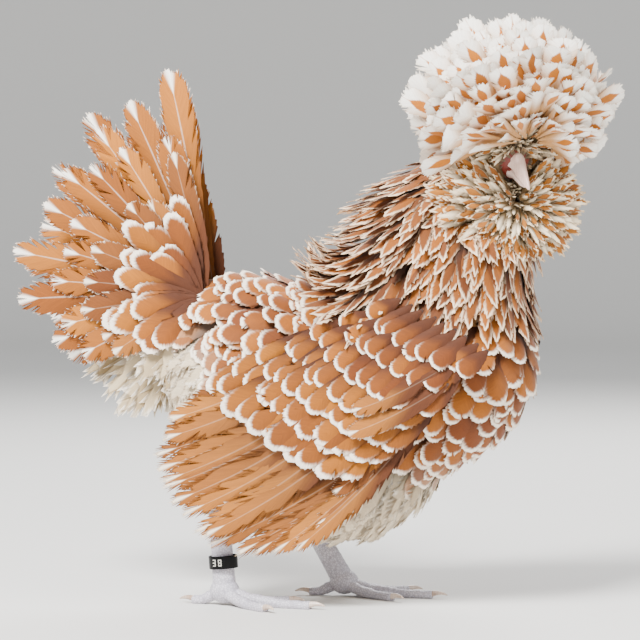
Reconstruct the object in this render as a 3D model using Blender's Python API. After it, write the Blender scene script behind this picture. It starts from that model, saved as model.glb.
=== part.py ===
"""A bearded, crested hen of the Polish breed, standing, as a life-size still model.

The bird is modelled in its own frame in metres, nose along +X, its left side along +Y and the floor at
z = 0, and the empty "bird" then turns it by the angle at which it stands to the viewer.
Flesh comes from fields, each a smooth blend of a few ellipsoids, and each node of flesh is the surface
where its own field has one level. Feathers are vanes that follow those fields.
"""

import math

import bmesh
import bpy
import numpy as np
from mathutils import Matrix, Vector

MM = 0.001
GAP = 0.3 * MM
STANCE_YAW = math.radians(-18.0)

# Head, in the bird's frame: the middle of the skull, its turn toward the bird's right and its nod.
HEAD_AT = np.array([105.0, -5.0, 281.0]) * MM
HEAD_TURN = math.radians(-50.0)
HEAD_NOD = math.radians(20.0)
EYE_RADIUS = 4.6 * MM
EYE_AT = np.array([7.0, 9.4, 3.0]) * MM
LID_RADII = (5.9 * MM, 4.9 * MM)
LID_THICKNESS = 1.0 * MM
LID_OUT = 3.1 * MM
LID_SLANT = 0.9 * MM
LID_MESH = (14, 5)
EYE_ROOM = np.array([8.6, 6.0, 7.6]) * MM
BEAK_ROOT = 17.0 * MM
BEAK_BURIED = 8.0 * MM
BEAK_EDGE = 0.9 * MM
BEAK_LENGTH = 27.0 * MM
BEAK_WIDTH = 11.0 * MM
BEAK_HEIGHT = 9.5 * MM
BEAK_HOOK = 4.5 * MM
JAW_LENGTH = 21.0 * MM
JAW_DEPTH = 4.4 * MM
JAW_EDGE = 0.7 * MM
LIPS = 0.8 * MM
HORN_SIDES = 9
MOUTH_Z = -5.0 * MM
MOUTH_CORNER = 10.0 * MM
NOSTRIL_AT = np.array([21.0, 4.6, 0.5]) * MM
NOSTRIL_RADII = np.array([2.6, 1.2, 1.1]) * MM
BEAK_ROOM = np.array([24.0, 8.5, 11.0]) * MM

# Legs: the foot's place on the floor, the lean of the shank and its sizes.
SHANK_DEPTH = 6.6 * MM
ANKLE_SWELL = 0.16
HOCK_SWELL = 0.12
SHANK_SIDES = 12
ANKLE_RADII = np.array([9.5, 7.5, 8.0]) * MM
SHANK_WIDTH = 5.6 * MM
SHANK_LENGTH = 84.0 * MM
FOOT_HEIGHT = 9.0 * MM
TOE_RADIUS = 4.3 * MM
TOE_TAPER = 0.32
PAD_SWELL = 0.09
TOE_SIDES = 6
HIND_RISE = 12.0 * MM
SOLE_CUT = 0.9 * MM
CLAW_LENGTH = 11.0 * MM
CLAW_TIP = 0.45 * MM

# Toes: name, splay in degrees toward the bird's middle, and length in millimetres.
TOES = (("inner", 24.0, 40.0), ("middle", -4.0, 57.0), ("outer", -36.0, 43.0), ("hind", 172.0, 22.0))
RIGHT_FOOT = np.array([-64.0, -34.0]) * MM
LEFT_FOOT = np.array([-8.0, 34.0]) * MM
RIGHT_LEAN = math.radians(4.0)
LEFT_LEAN = math.radians(31.0)
BAND_INNER = 8.0 * MM
BAND_REST = 7.3 * MM
BAND_OUTER = 9.0 * MM
BAND_HEIGHT = 8.0 * MM
BAND_Z = 27.0 * MM
BAND_SIDES = 32

# The ball of the crest and of the beard, in the head's frame, out to the feathers' tips.
CREST_CENTRE = np.array([5.0, 0.0, 28.0]) * MM
CREST_RADII = np.array([60.0, 62.0, 55.0]) * MM
CREST_POLE = np.array([0.93, 0.0, -0.37])
CREST_VANES = 80
CREST_KNOB = np.array([4.0, 0.0, 16.0]) * MM
CREST_ROOT = 12.0 * MM
CREST_WIDTH = 20.0 * MM
CREST_OPEN = 0.93
CREST_FLOOR = 280.0 * MM
BEARD_CENTRE = np.array([14.0, 0.0, -31.0]) * MM
BEARD_RADII = np.array([37.0, 50.0, 39.0]) * MM
BEARD_POLE = np.array([0.88, 0.0, 0.47])
BEARD_VANES = 58
BEARD_KNOB = np.array([9.0, 0.0, -12.0]) * MM
BEARD_ROOT = 11.0 * MM
BEARD_WIDTH = 16.0 * MM
BEARD_OPEN = 0.9

# Rows of the hackle: height on the neck, half the arc behind it in degrees, number and length. The levels
# are how far over the body a vane stands at its root, its middle, near its tip and at its tip.
HACKLE_ROWS = (
    (268, 75, 5, 44),
    (256, 120, 8, 44),
    (244, 140, 10, 42),
    (231, 180, 13, 39),
)
HACKLE_WIDTH = 21.0 * MM
HACKLE_LEVELS = np.array([-2.5, 4.2, 8.2, 10.6]) * MM
NECK_FOOT = np.array([68.0, 0.0, 200.0]) * MM
NECK_TOP = np.array([84.0, -3.0, 262.0]) * MM

# The fan of the tail: tiers of vanes on each side, from the inner to the outer one. Each is the number of
# vanes, the first and last angle above +X in degrees, their length, width and distance from the middle.
TAIL_ROOT = np.array([-84.0, 0.0, 190.0]) * MM
TAIL_TIERS = (
    (7, 98, 200, 139, 31, 3.0),
    (5, 106, 208, 94, 29, 11.5),
    (5, 116, 224, 66, 25, 17.5),
)
TAIL_STEP = 1.15

# Tiers of one wing, from the body outward: number, the line of the tips from front to back, the
# line of the roots, width and height over the wing's sheet. Points are along and up.
WING_TIERS = (
    (5, ((8, 74), (-16, 38), (-70, 41)), ((68, 122), (74, 125), (80, 128)), 25, 1.0),
    (7, ((-72, 48), (-99, 84), (-84, 120)), ((58, 131), (30, 148), (4, 163)), 28, 4.0),
    (7, ((32, 100), (-10, 114), (-50, 142)), ((74, 128), (34, 146), (-2, 168)), 22, 7.0),
    (6, ((54, 112), (12, 130), (-28, 158)), ((84, 134), (42, 152), (0, 174)), 22, 9.8),
    (5, ((72, 130), (36, 150), (0, 172)), ((92, 148), (58, 166), (24, 182)), 21, 12.4),
)
ALULA = (((88, 142), (26, 112), 15), ((84, 150), (32, 124), 17))
ALULA_WIDTH = 13
WING_SHEET = 50.0 * MM
WING_SAG = 0.04
LONG_WIDTH = 23

# Vanes: shares of the length, the half width as a share of the widest, and the thickness there.
SHORT_SHARES = np.array([0.0, 0.5, 0.84, 1.0])
SHORT_THICK = np.array([1.3, 1.1, 0.8, 0.5]) * MM
HACKLE_HALVES = np.array([0.4, 1.0, 0.72, 0.0])
BALL_HALVES = np.array([0.14, 0.72, 0.92, 0.0])
COVERT_HALVES = np.array([0.4, 1.0, 0.85, 0.0])
LONG_SHARES = np.array([0.0, 0.4, 0.78, 0.93, 1.0])
LONG_THICK = np.array([1.5, 1.2, 1.0, 0.8, 0.5]) * MM
WING_HALVES = np.array([0.3, 0.9, 1.0, 0.7, 0.0])
TAIL_HALVES = np.array([0.14, 0.85, 1.0, 0.72, 0.0])

# Meshes of flesh: the middle a surface is seen from, in millimetres, and its rings and sides.
TORSO_MESH = ((10, 0, 135), 20, 22)
NECK_MESH = ((74, 0, 225), 11, 14)
NECK_CUTTER_MESH = ((74, 0, 225), 18, 24)
NECK_CORE_MESH = ((74, 0, 225), 14, 18)
HEAD_MESH = ((0, 0, 2), 15, 16)
CREST_MESH = ((5, 0, 22), 12, 14)
BEARD_MESH = ((10, 0, -22), 12, 14)
BEARD_ROOM_MESH = ((14, 0, -31), 14, 18)
WING_MESH = ((38, 60, 151), 12, 14)
TAIL_MESH = ((-93, 0, 192), 12, 14)
THIGH_SIDES = (11, 12)
THIGH_CUTTER_SIDES = (14, 16)
EYE_SIDES = (8, 10)
BALL_SIDES = (10, 12)

# How far the cutters of the coarser surfaces stand off, and the angle under which faces count as flat.
CLEAR = 1.3 * GAP
TORSO_CLEAR = 2.6 * GAP
FLAT_ANGLE = math.radians(2.5)

# Corners far outside the bird, for cutting blocks.
FAR_LOW = (-0.3, -0.2, -0.1)
FAR_HIGH = (0.3, 0.2, 0.5)


class Field:
    """A smooth blend of ellipsoids, negative inside, in about the units of distance."""

    def __init__(self, blend, *lobes):
        self.blend = blend
        self.centres = np.array([lobe[0] for lobe in lobes], float) * MM
        self.radii = np.array([lobe[1] for lobe in lobes], float) * MM
        pitches = [math.radians(lobe[2]) if len(lobe) > 2 else 0.0 for lobe in lobes]
        self.cos, self.sin = np.cos(pitches), np.sin(pitches)

    def __call__(self, points):
        offset = points[..., None, :] - self.centres
        along = offset[..., 0] * self.cos + offset[..., 2] * self.sin
        up = offset[..., 2] * self.cos - offset[..., 0] * self.sin
        local = np.stack([along, offset[..., 1], up], -1)
        near = np.linalg.norm(local / self.radii, axis=-1)
        steep = np.linalg.norm(local / self.radii**2, axis=-1)
        distance = near * (near - 1.0) / np.maximum(steep, 1e-9)
        lowest = distance.min(-1)
        weights = np.exp(-(distance - lowest[..., None]) / self.blend)
        return lowest - self.blend * np.log(weights.sum(-1))

    def gradient(self, points):
        """The outward unit normal of the level through each point."""
        step = 0.2 * MM
        slopes = [self(points + step * axis) - self(points - step * axis) for axis in np.eye(3)]
        slopes = np.stack(slopes, -1)
        return slopes / np.maximum(np.linalg.norm(slopes, axis=-1, keepdims=True), 1e-12)


TORSO_LOBES = (
    ((56, 0, 152), (69, 57, 64), 20),
    ((-8, 0, 126), (76, 57, 62), 8),
    ((0, 0, 96), (62, 48, 56), 0),
    ((-42, 0, 153), (50, 46, 46), 0),
    ((-78, 0, 175), (30, 20, 22), 25),
    ((-76, 0, 140), (36, 32, 34), -20),
)
NECK_LOBES = (
    ((68, 0, 204), (52, 48, 42), 20),
    ((72, 4, 230), (41, 38, 36), 0),
    ((80, 6, 250), (31, 30, 30), 0),
)
TORSO = Field(9 * MM, *TORSO_LOBES)
NECK = Field(9 * MM, *NECK_LOBES)
HEAD = Field(
    3 * MM,
    ((-3, 0, 0), (21, 14.5, 15)),
    ((2, 0, 12), (15, 12.5, 11)),
    ((9, 0, -4), (13, 11, 9.5)),
    ((-5, 0, -9), (15, 11, 9)),
    ((16, 3.4, 3), (5, 3.2, 4)),
    ((16, -3.4, 3), (5, 3.2, 4)),
)
BODY = Field(9 * MM, *TORSO_LOBES, *NECK_LOBES)
CREST_CORE = Field(9 * MM, ((5, 0, 22), (30, 29, 27)))
BEARD_CORE = Field(9 * MM, ((10, 0, -22), (24, 32, 22)))
BEARD_ROOM = Field(9 * MM, ((14, 0, -31), (41, 55, 43)))
WING_CORE = Field(
    5 * MM,
    ((38, 62, 151), (60, 9, 31), 33),
    ((74, 62, 141), (21, 10, 15)),
    ((18, 62, 172), (28, 9, 13)),
)
TAIL_CORE = Field(9 * MM, ((-93, 0, 190), (27, 25, 24)))
THIGHS = {
    "right": Field(6 * MM, ((-54, -31, 88), (34, 17, 42), 30)),
    "left": Field(6 * MM, ((-30, 31, 82), (34, 17, 42), 0)),
}
HEAD_ROTATION = Matrix.Rotation(HEAD_TURN, 4, "Z") @ Matrix.Rotation(HEAD_NOD, 4, "Y")
HEAD_MATRIX = Matrix.Translation(HEAD_AT) @ HEAD_ROTATION


def colour(code):
    """The linear colour of an sRGB hex code such as C9712F."""
    channels = [int(code[i : i + 2], 16) / 255 for i in (0, 2, 4)]
    return tuple(c / 12.92 if c <= 0.04045 else ((c + 0.055) / 1.055) ** 2.4 for c in channels)


def material(name, code, roughness):
    """A plain material of one colour."""
    made = bpy.data.materials.new(name)
    made.use_nodes = True
    shader = made.node_tree.nodes["Principled BSDF"]
    shader.inputs["Base Color"].default_value = (*colour(code), 1.0)
    shader.inputs["Roughness"].default_value = roughness
    shader.inputs["Metallic"].default_value = 0.0
    return made


def add(name, vertices, faces, finish=None):
    """One smooth-shaded object from arrays of vertices and faces."""
    mesh = bpy.data.meshes.new(name)
    mesh.from_pydata([tuple(v) for v in vertices], [], [tuple(int(i) for i in f) for f in faces])
    shape = bpy.data.objects.new(name, mesh)
    bpy.context.collection.objects.link(shape)
    if finish:
        mesh.materials.append(finish)
    mesh.shade_smooth()
    return shape


def star_mesh(field, centre, level, rings, sides):
    """The level of a field as seen from a centre, on a grid of directions with poles along X."""
    polar = np.linspace(0, math.pi, rings + 1)[1:-1, None]
    turn = np.linspace(0, 2 * math.pi, sides, endpoint=False)[None, :]
    grid = np.stack(
        [np.cos(polar) + 0 * turn, np.sin(polar) * np.cos(turn), np.sin(polar) * np.sin(turn)], -1
    )
    directions = np.concatenate([[[1.0, 0, 0]], grid.reshape(-1, 3), [[-1.0, 0, 0]]])
    near, far = np.zeros(len(directions)), np.full(len(directions), 200 * MM)
    for _ in range(24):
        middle = (near + far) / 2
        inside = field(centre + directions * middle[:, None]) < level
        near, far = np.where(inside, middle, near), np.where(inside, far, middle)
    vertices = centre + directions * near[:, None]
    last = len(vertices) - 1
    faces = []
    for j in range(sides):
        k = (j + 1) % sides
        faces.append((0, 1 + j, 1 + k))
        faces.append((last, last - sides + k, last - sides + j))
        for i in range(rings - 2):
            a, b = 1 + i * sides, 1 + (i + 1) * sides
            faces.append((a + j, b + j, b + k, a + k))
    return vertices, faces


def tube(path, widths, heights, sides, up=(0, 0, 1)):
    """A closed tube along a path, elliptical in section, with a pointed or flat end at each side."""
    path = np.array(path, float)
    tangents = np.gradient(path, axis=0)
    tangents /= np.linalg.norm(tangents, axis=1, keepdims=True)
    across = np.cross(np.array(up, float), tangents)
    across /= np.linalg.norm(across, axis=1, keepdims=True)
    rise = np.cross(tangents, across)
    turn = np.linspace(0, 2 * math.pi, sides, endpoint=False)
    circle = (
        across[:, None] * np.cos(turn)[None, :, None] * np.array(widths)[:, None, None]
        + rise[:, None] * np.sin(turn)[None, :, None] * np.array(heights)[:, None, None]
    )
    vertices = (path[:, None] + circle).reshape(-1, 3)
    faces = []
    for i in range(len(path) - 1):
        for j in range(sides):
            k = (j + 1) % sides
            a, b = i * sides, (i + 1) * sides
            faces.append((a + j, a + k, b + k, b + j))
    faces.append(tuple(reversed(range(sides))))
    faces.append(tuple(range(len(vertices) - sides, len(vertices))))
    return vertices, faces


def keep_largest(shape):
    """Drops every closed surface of a mesh but the one with most volume, and splits its faces."""
    edit = bmesh.new()
    edit.from_mesh(shape.data)
    bmesh.ops.dissolve_limit(edit, angle_limit=FLAT_ANGLE, verts=edit.verts, edges=edit.edges)
    bmesh.ops.triangulate(edit, faces=edit.faces)
    unseen, shells = set(edit.faces), []
    while unseen:
        front, shell = [unseen.pop()], []
        while front:
            face = front.pop()
            shell.append(face)
            for edge in face.edges:
                for other in edge.link_faces:
                    if other in unseen:
                        unseen.remove(other)
                        front.append(other)
        shells.append(shell)

    def volume(shell):
        return abs(sum(f.verts[0].co.dot(f.verts[1].co.cross(f.verts[2].co)) for f in shell))

    shells.sort(key=volume)
    bmesh.ops.delete(edit, geom=[f for shell in shells[:-1] for f in shell], context="FACES")
    bmesh.ops.delete(edit, geom=[v for v in edit.verts if not v.link_faces], context="VERTS")
    edit.to_mesh(shape.data)
    edit.free()


def boolean(shape, others, operation):
    """Applies one Boolean with all the other objects, then removes them."""
    group = bpy.data.collections.new(f"{shape.name}_others")
    bpy.context.scene.collection.children.link(group)
    for other in others:
        for home in list(other.users_collection):
            home.objects.unlink(other)
        group.objects.link(other)
    step = shape.modifiers.new(operation, "BOOLEAN")
    step.operation, step.solver = operation, "EXACT"
    step.operand_type, step.collection = "COLLECTION", group
    bpy.context.view_layer.update()
    evaluated = shape.evaluated_get(bpy.context.evaluated_depsgraph_get())
    result = bpy.data.meshes.new_from_object(evaluated)
    shape.modifiers.remove(step)
    shape.data = result
    for other in others:
        bpy.data.objects.remove(other)
    bpy.data.collections.remove(group)
    keep_largest(shape)
    shape.data.shade_smooth()


def unit(vectors):
    """Vectors scaled to a length of one."""
    return vectors / np.maximum(np.linalg.norm(vectors, axis=-1, keepdims=True), 1e-12)


def vane(path, across, normal, halves, thickness, tilt=0.0, cup=0.12):
    """One closed feather: a flat diamond in section that ends in a point.

    The edges lie half a width to each side and sink by the cup, and the tilt raises one of them, so
    that a row of vanes overlaps as tiles do.
    """
    halves = np.asarray(halves)[:, None]
    thick = np.asarray(thickness)[:, None]
    left = path + across * halves + normal * halves * (tilt - cup)
    right = path - across * halves - normal * halves * (tilt + cup)
    rings = np.stack([left, path + normal * thick / 2, right, path - normal * thick / 2], 1)[:-1]
    vertices = np.concatenate([rings.reshape(-1, 3), path[-1:]])
    count = len(rings)
    faces = [(0, 1, 3), (1, 2, 3)]
    for i in range(count - 1):
        a, b = 4 * i, 4 * (i + 1)
        for j, k, outer in ((0, 1, 0), (1, 2, 2), (2, 3, 2), (3, 0, 0)):
            other = k if outer == j else j
            if outer == j:
                faces += [(a + j, b + j, b + other), (a + j, b + other, a + other)]
            else:
                faces += [(a + other, b + other, a + outer), (b + other, b + outer, a + outer)]
    last, tip = 4 * (count - 1), len(vertices) - 1
    faces += [(last + j, tip, last + (j + 1) % 4) for j in range(4)]
    return vertices, [face[::-1] for face in faces]


def vane_object(*details, **more):
    """A vane as an object of its own, ready to be joined to a node."""
    return add("vane", *vane(*details, **more))


def settle(points, field, level):
    """Moves points along the field's slope until the field has the level there."""
    for _ in range(3):
        points = points - field.gradient(points) * (field(points) - level)[..., None]
    return points


def sphere_points(count):
    """Evenly spread directions on a sphere, on a golden spiral."""
    index = np.arange(count) + 0.5
    polar = np.arccos(1 - 2 * index / count)
    turn = math.pi * (1 + math.sqrt(5)) * index
    return np.stack([np.cos(turn) * np.sin(polar), np.sin(turn) * np.sin(polar), np.cos(polar)], -1)


def head_place(shape):
    """Moves a shape from the head's frame to the bird's."""
    shape.data.transform(HEAD_MATRIX)
    return shape


def flesh(name, field, mesh, finish=None, level=0.0):
    """The surface of one level of a field as an object."""
    centre, rings, sides = mesh
    return add(name, *star_mesh(field, np.array(centre, float) * MM, level, rings, sides), finish)


def carve(shape, *cutters):
    """Cuts a node clear of its neighbours."""
    boolean(shape, list(cutters), "DIFFERENCE")
    return shape


def block(low, high):
    """A box between two corners."""
    low, high = np.array(low, float), np.array(high, float)
    corners = np.array([[x, y, z] for x in (0, 1) for y in (0, 1) for z in (0, 1)])
    faces = [(0, 1, 3, 2), (4, 6, 7, 5), (0, 4, 5, 1), (2, 3, 7, 6), (0, 2, 6, 4), (1, 5, 7, 3)]
    return add("block", low + corners * (high - low), faces)


def ellipsoid(centre, radii):
    """A ball with three radii."""
    field = Field(MM, (np.array(centre) / MM, np.array(radii) / MM))
    return add("ellipsoid", *star_mesh(field, np.array(centre, float), 0.0, *BALL_SIDES))


def torso_cutter():
    """The torso, grown by the gap that its neighbours keep."""
    return flesh("torso_cutter", TORSO, TORSO_MESH, level=TORSO_CLEAR)


def neck_cutter():
    """The neck without its hackle, grown by a gap."""
    return flesh("neck_cutter", NECK, NECK_CUTTER_MESH, level=CLEAR)


def head_cutter():
    """The skull, grown by a gap, in its place."""
    return head_place(flesh("head_cutter", HEAD, HEAD_MESH, level=CLEAR))


def slab(height, above):
    """A block that holds all above or all below a height."""
    if above:
        return block((*FAR_LOW[:2], height), FAR_HIGH)
    return block(FAR_LOW, (*FAR_HIGH[:2], height))


def lid(side):
    """The ring of the two lids round one eye, in the head's frame."""
    count, sides = LID_MESH
    turn = np.linspace(0, 2 * math.pi, count, endpoint=False)
    roll = np.linspace(0, 2 * math.pi, sides, endpoint=False)
    turn, roll = np.meshgrid(turn, roll, indexing="ij")
    reach = LID_THICKNESS * np.cos(roll)
    x = EYE_AT[0] + (LID_RADII[0] + reach) * np.cos(turn)
    z = EYE_AT[2] + (LID_RADII[1] + reach) * np.sin(turn)
    y = side * (EYE_AT[1] + LID_OUT - LID_SLANT * np.cos(turn) + LID_THICKNESS * np.sin(roll))
    faces = []
    for i in range(count):
        for j in range(sides):
            k = (j + 1) % sides
            a, b = i * sides, (i + 1) % count * sides
            ring = (a + j, b + j, b + k, a + k)
            faces.append(ring if side > 0 else ring[::-1])
    return add("lid", np.stack([x, y, z], -1).reshape(-1, 3), faces)


def eyeball(side, radius, name="eye_cutter", finish=None):
    """A ball at one eye's place, in the head's frame."""
    field = Field(MM, (EYE_AT * (1, side, 1) / MM, np.full(3, radius / MM)))
    return add(name, *star_mesh(field, EYE_AT * (1, side, 1), 0.0, *EYE_SIDES), finish)


def horn(name, root, length, width, lines, sections, finish=None):
    """A half of the beak: arched on one side of the mouth and flat on the other.

    lines(t) gives the height of the flat side and of the crown at a share t of the length.
    """
    shares = 1 - (1 - np.linspace(0, 1, sections)) ** 1.3
    turn = np.linspace(0, math.pi, HORN_SIDES)
    flat, crown = lines(shares)
    half = width / 2 * (1 - shares**1.5) ** 0.8 + 0.5 * MM
    x = root + length * shares[:, None] + 0 * turn
    y = half[:, None] * np.cos(turn)
    z = flat[:, None] + (crown - flat)[:, None] * np.sin(turn) ** 0.8
    vertices = np.stack([x, y, z], -1).reshape(-1, 3)
    count, faces = len(turn), []
    for i in range(sections - 1):
        for j in range(count):
            k = (j + 1) % count
            a, b = i * count, (i + 1) * count
            faces.append((a + j, b + j, b + k, a + k))
    faces.append(tuple(range(count)))
    faces.append(tuple(reversed(range(len(vertices) - count, len(vertices)))))
    if crown[0] < flat[0]:
        faces = [face[::-1] for face in faces]
    return add(name, vertices, faces, finish)


def upper_lines(shares):
    """The mouth's line and the ridge of the upper half of the beak."""
    flat = MOUTH_Z - BEAK_HOOK * shares**2.5
    return flat, flat + (BEAK_HEIGHT - BEAK_EDGE) * (1 - shares**2.2) ** 0.7 + BEAK_EDGE


def lower_lines(shares):
    """The mouth's line and the keel of the lower half of the beak."""
    flat = MOUTH_Z - LIPS - BEAK_HOOK * (shares * JAW_LENGTH / BEAK_LENGTH) ** 2.5
    return flat, flat - (JAW_DEPTH - JAW_EDGE) * (1 - shares**2) ** 0.8 - JAW_EDGE


def make_head(skin):
    """The skull under its skin, with the lids and the cut of the mouth."""
    head = flesh("head", HEAD, HEAD_MESH, skin)
    boolean(head, [lid(1), lid(-1)], "UNION")
    reach = 30 * MM
    mouth = block((MOUTH_CORNER, -reach, MOUTH_Z - GAP), (reach, reach, MOUTH_Z))
    carve(head, eyeball(1, EYE_RADIUS + GAP), eyeball(-1, EYE_RADIUS + GAP), mouth)
    return head_place(head)


def make_eyes(glass):
    """The two eyeballs, each in its socket."""
    return [head_place(eyeball(s, EYE_RADIUS, f"eye_{n}", glass)) for n, s in (("left", 1), ("right", -1))]


def make_beak(keratin):
    """The two halves of the beak, the upper one with its nostrils."""
    root = BEAK_ROOT - BEAK_BURIED
    upper = horn("beak_upper", root, BEAK_LENGTH + BEAK_BURIED, BEAK_WIDTH, upper_lines, 12, keratin)
    lower = horn("beak_lower", root, JAW_LENGTH + BEAK_BURIED, BEAK_WIDTH - MM, lower_lines, 10, keratin)
    nostrils = [ellipsoid(NOSTRIL_AT * (1, side, 1), NOSTRIL_RADII) for side in (1, -1)]
    carve(upper, flesh("skull", HEAD, HEAD_MESH, level=GAP), *nostrils)
    carve(lower, flesh("skull", HEAD, HEAD_MESH, level=GAP))
    return [head_place(upper), head_place(lower)]


def make_torso(down):
    """The body without its small feathers."""
    return flesh("torso", TORSO, TORSO_MESH, down)


def ball_vanes(directions, centre, radii, pole, knob, root_share, width, draw):
    """Feathers from a knob that lie back over a ball from its pole, in the head's frame."""
    pole = unit(pole)
    t = SHORT_SHARES[:, None]
    made = []
    for way in directions:
        size = draw.uniform(0.9, 1.06)
        side = unit(np.cross(way, pole))
        lift = unit(way * draw.uniform(0.55, 0.65) + pole * 0.62)
        tip = centre + way * radii * size
        bend = centre + lift * radii * 0.84
        root = knob + unit(lift + pole * 0.2) * root_share
        path = root * (1 - t) ** 2 + 2 * bend * t * (1 - t) + tip * t**2
        tangent = unit(np.gradient(path, axis=0))
        normal = unit(np.cross(tangent, side))
        normal *= np.sign((normal * way).sum(-1, keepdims=True) + 1e-9)[2]
        wide = width / 2 * draw.uniform(0.9, 1.1)
        made.append(vane_object(path, side, normal, BALL_HALVES * wide, SHORT_THICK, tilt=0.14))
    return made


def make_crest(feathers):
    """The crest, feather by feather, over a core that sits on the knob of the skull."""
    draw = np.random.default_rng(11)
    ways = sphere_points(CREST_VANES)
    tips = CREST_CENTRE + ways * CREST_RADII
    matrix = np.array(HEAD_MATRIX)
    heights = (tips @ matrix[:3, :3].T + matrix[:3, 3])[:, 2]
    ways = ways[(heights > CREST_FLOOR + 7 * MM) & (ways @ unit(CREST_POLE) < CREST_OPEN)]
    ball = (CREST_CENTRE, CREST_RADII, CREST_POLE, CREST_KNOB, CREST_ROOT, CREST_WIDTH)
    crest = flesh("crest", CREST_CORE, CREST_MESH, feathers)
    boolean(crest, ball_vanes(ways, *ball, draw), "UNION")
    head_place(crest)
    return carve(crest, head_cutter(), slab(CREST_FLOOR, False), *face_cutters())


def make_beard(feathers):
    """The beard and muffs, feather by feather, over a core round the throat."""
    draw = np.random.default_rng(12)
    ways = sphere_points(BEARD_VANES)
    tips = BEARD_CENTRE + ways * BEARD_RADII
    matrix = np.array(HEAD_MATRIX)
    world = tips @ matrix[:3, :3].T + matrix[:3, 3]
    clear = (world[:, 2] < CREST_FLOOR - 4 * MM) & (NECK(world) > 2 * MM)
    clear &= ways @ unit(BEARD_POLE) < BEARD_OPEN
    ball = (BEARD_CENTRE, BEARD_RADII, BEARD_POLE, BEARD_KNOB, BEARD_ROOT, BEARD_WIDTH)
    beard = flesh("beard", BEARD_CORE, BEARD_MESH, feathers)
    boolean(beard, ball_vanes(ways[clear], *ball, draw), "UNION")
    head_place(beard)
    above = slab(CREST_FLOOR - GAP, True)
    return carve(beard, head_cutter(), neck_cutter(), torso_cutter(), above, *face_cutters())


def row_roots(field, level, centre, axis, angles):
    """Where rays from a point on an axis, square to it, meet the level of a field."""
    back = unit(np.cross(axis, np.cross([-1.0, 0, 0], axis)))
    aside = np.cross(axis, back)
    ways = back * np.cos(angles)[:, None] + aside * np.sin(angles)[:, None]
    near, far = np.zeros(len(ways)), np.full(len(ways), 90 * MM)
    for _ in range(20):
        middle = (near + far) / 2
        inside = field(centre + ways * middle[:, None]) < level
        near, far = np.where(inside, middle, near), np.where(inside, far, middle)
    return centre + ways * near[:, None]


def lay(field, roots, way, lengths, levels):
    """Paths that run over the levels of a field as nearly along one way as its slope allows."""
    place = settle(roots, field, levels[0])
    paths = [place]
    for step, level in zip(np.diff(SHORT_SHARES), levels[1:]):
        for _ in range(2):
            normal = field.gradient(place)
            along = unit(way - normal * (normal * way).sum(-1, keepdims=True))
            place = settle(place + along * (lengths * step / 2)[:, None], field, level)
        paths.append(place)
    return np.stack(paths, 1)


def make_neck(down):
    """The neck with its hackle: rows of long feathers, each row over the next one down."""
    draw = np.random.default_rng(13)
    neck = flesh("neck", NECK, NECK_MESH, down)
    axis = unit(NECK_TOP - NECK_FOOT)
    made = []
    for row, (height, reach, count, length) in enumerate(HACKLE_ROWS):
        centre = NECK_FOOT + axis * ((height * MM - NECK_FOOT[2]) / axis[2])
        step = 2 * math.radians(reach) / count
        angles = (np.arange(count) + 0.5 + 0.5 * (row % 2) * (reach == 180)) * step - math.radians(reach)
        angles += draw.uniform(-0.12, 0.12, count) * step
        roots = row_roots(BODY, HACKLE_LEVELS[0], centre, axis, angles)
        lengths = length * MM * draw.uniform(0.92, 1.08, count)
        behind = 0.5 + 0.5 * np.cos(angles)
        levels = HACKLE_LEVELS[:, None] * (0.72 + 0.33 * behind * draw.uniform(0.8, 1.2, count))
        paths = lay(BODY, roots, -axis, lengths, levels)
        for path in paths:
            normal = BODY.gradient(path)
            tangent = unit(np.gradient(path, axis=0))
            across = unit(np.cross(normal, tangent))
            half = HACKLE_WIDTH / 2 * draw.uniform(0.9, 1.08)
            rise = np.cross(tangent, across)
            made.append(vane_object(path, across, rise, HACKLE_HALVES * half, SHORT_THICK, tilt=0.1))
    boolean(neck, made, "UNION")
    above = slab(CREST_FLOOR - GAP, True)
    beard = head_place(flesh("beard_room", BEARD_ROOM, BEARD_ROOM_MESH, level=GAP))
    boolean(beard, [flesh("neck_core", NECK, NECK_CORE_MESH, level=-0.7 * GAP)], "DIFFERENCE")
    return carve(neck, torso_cutter(), head_cutter(), above, beard, *face_cutters())


def face_cutters():
    """The room round the beak and the two eyes that feathers keep free."""
    rooms = [ellipsoid(np.array([BEAK_ROOT + 8 * MM, 0, MOUTH_Z]), BEAK_ROOM)]
    for side in (1, -1):
        rooms.append(ellipsoid((EYE_AT + np.array([0, 3 * MM, 0])) * (1, side, 1), EYE_ROOM))
    return [head_place(room) for room in rooms]


def mirror(shape):
    """Reflects a shape across the bird's middle plane."""
    shape.data.transform(Matrix.Diagonal((1, -1, 1, 1)))
    shape.data.flip_normals()
    return shape


def torso_side(x, z):
    """How far the torso's surface is from the middle plane at points given along and up."""
    near, far = np.zeros_like(x), np.full_like(x, 90 * MM)
    for _ in range(20):
        middle = (near + far) / 2
        inside = TORSO(np.stack([x, middle, z], -1)) < 0
        near, far = np.where(inside, middle, near), np.where(inside, far, middle)
    return near


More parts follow.
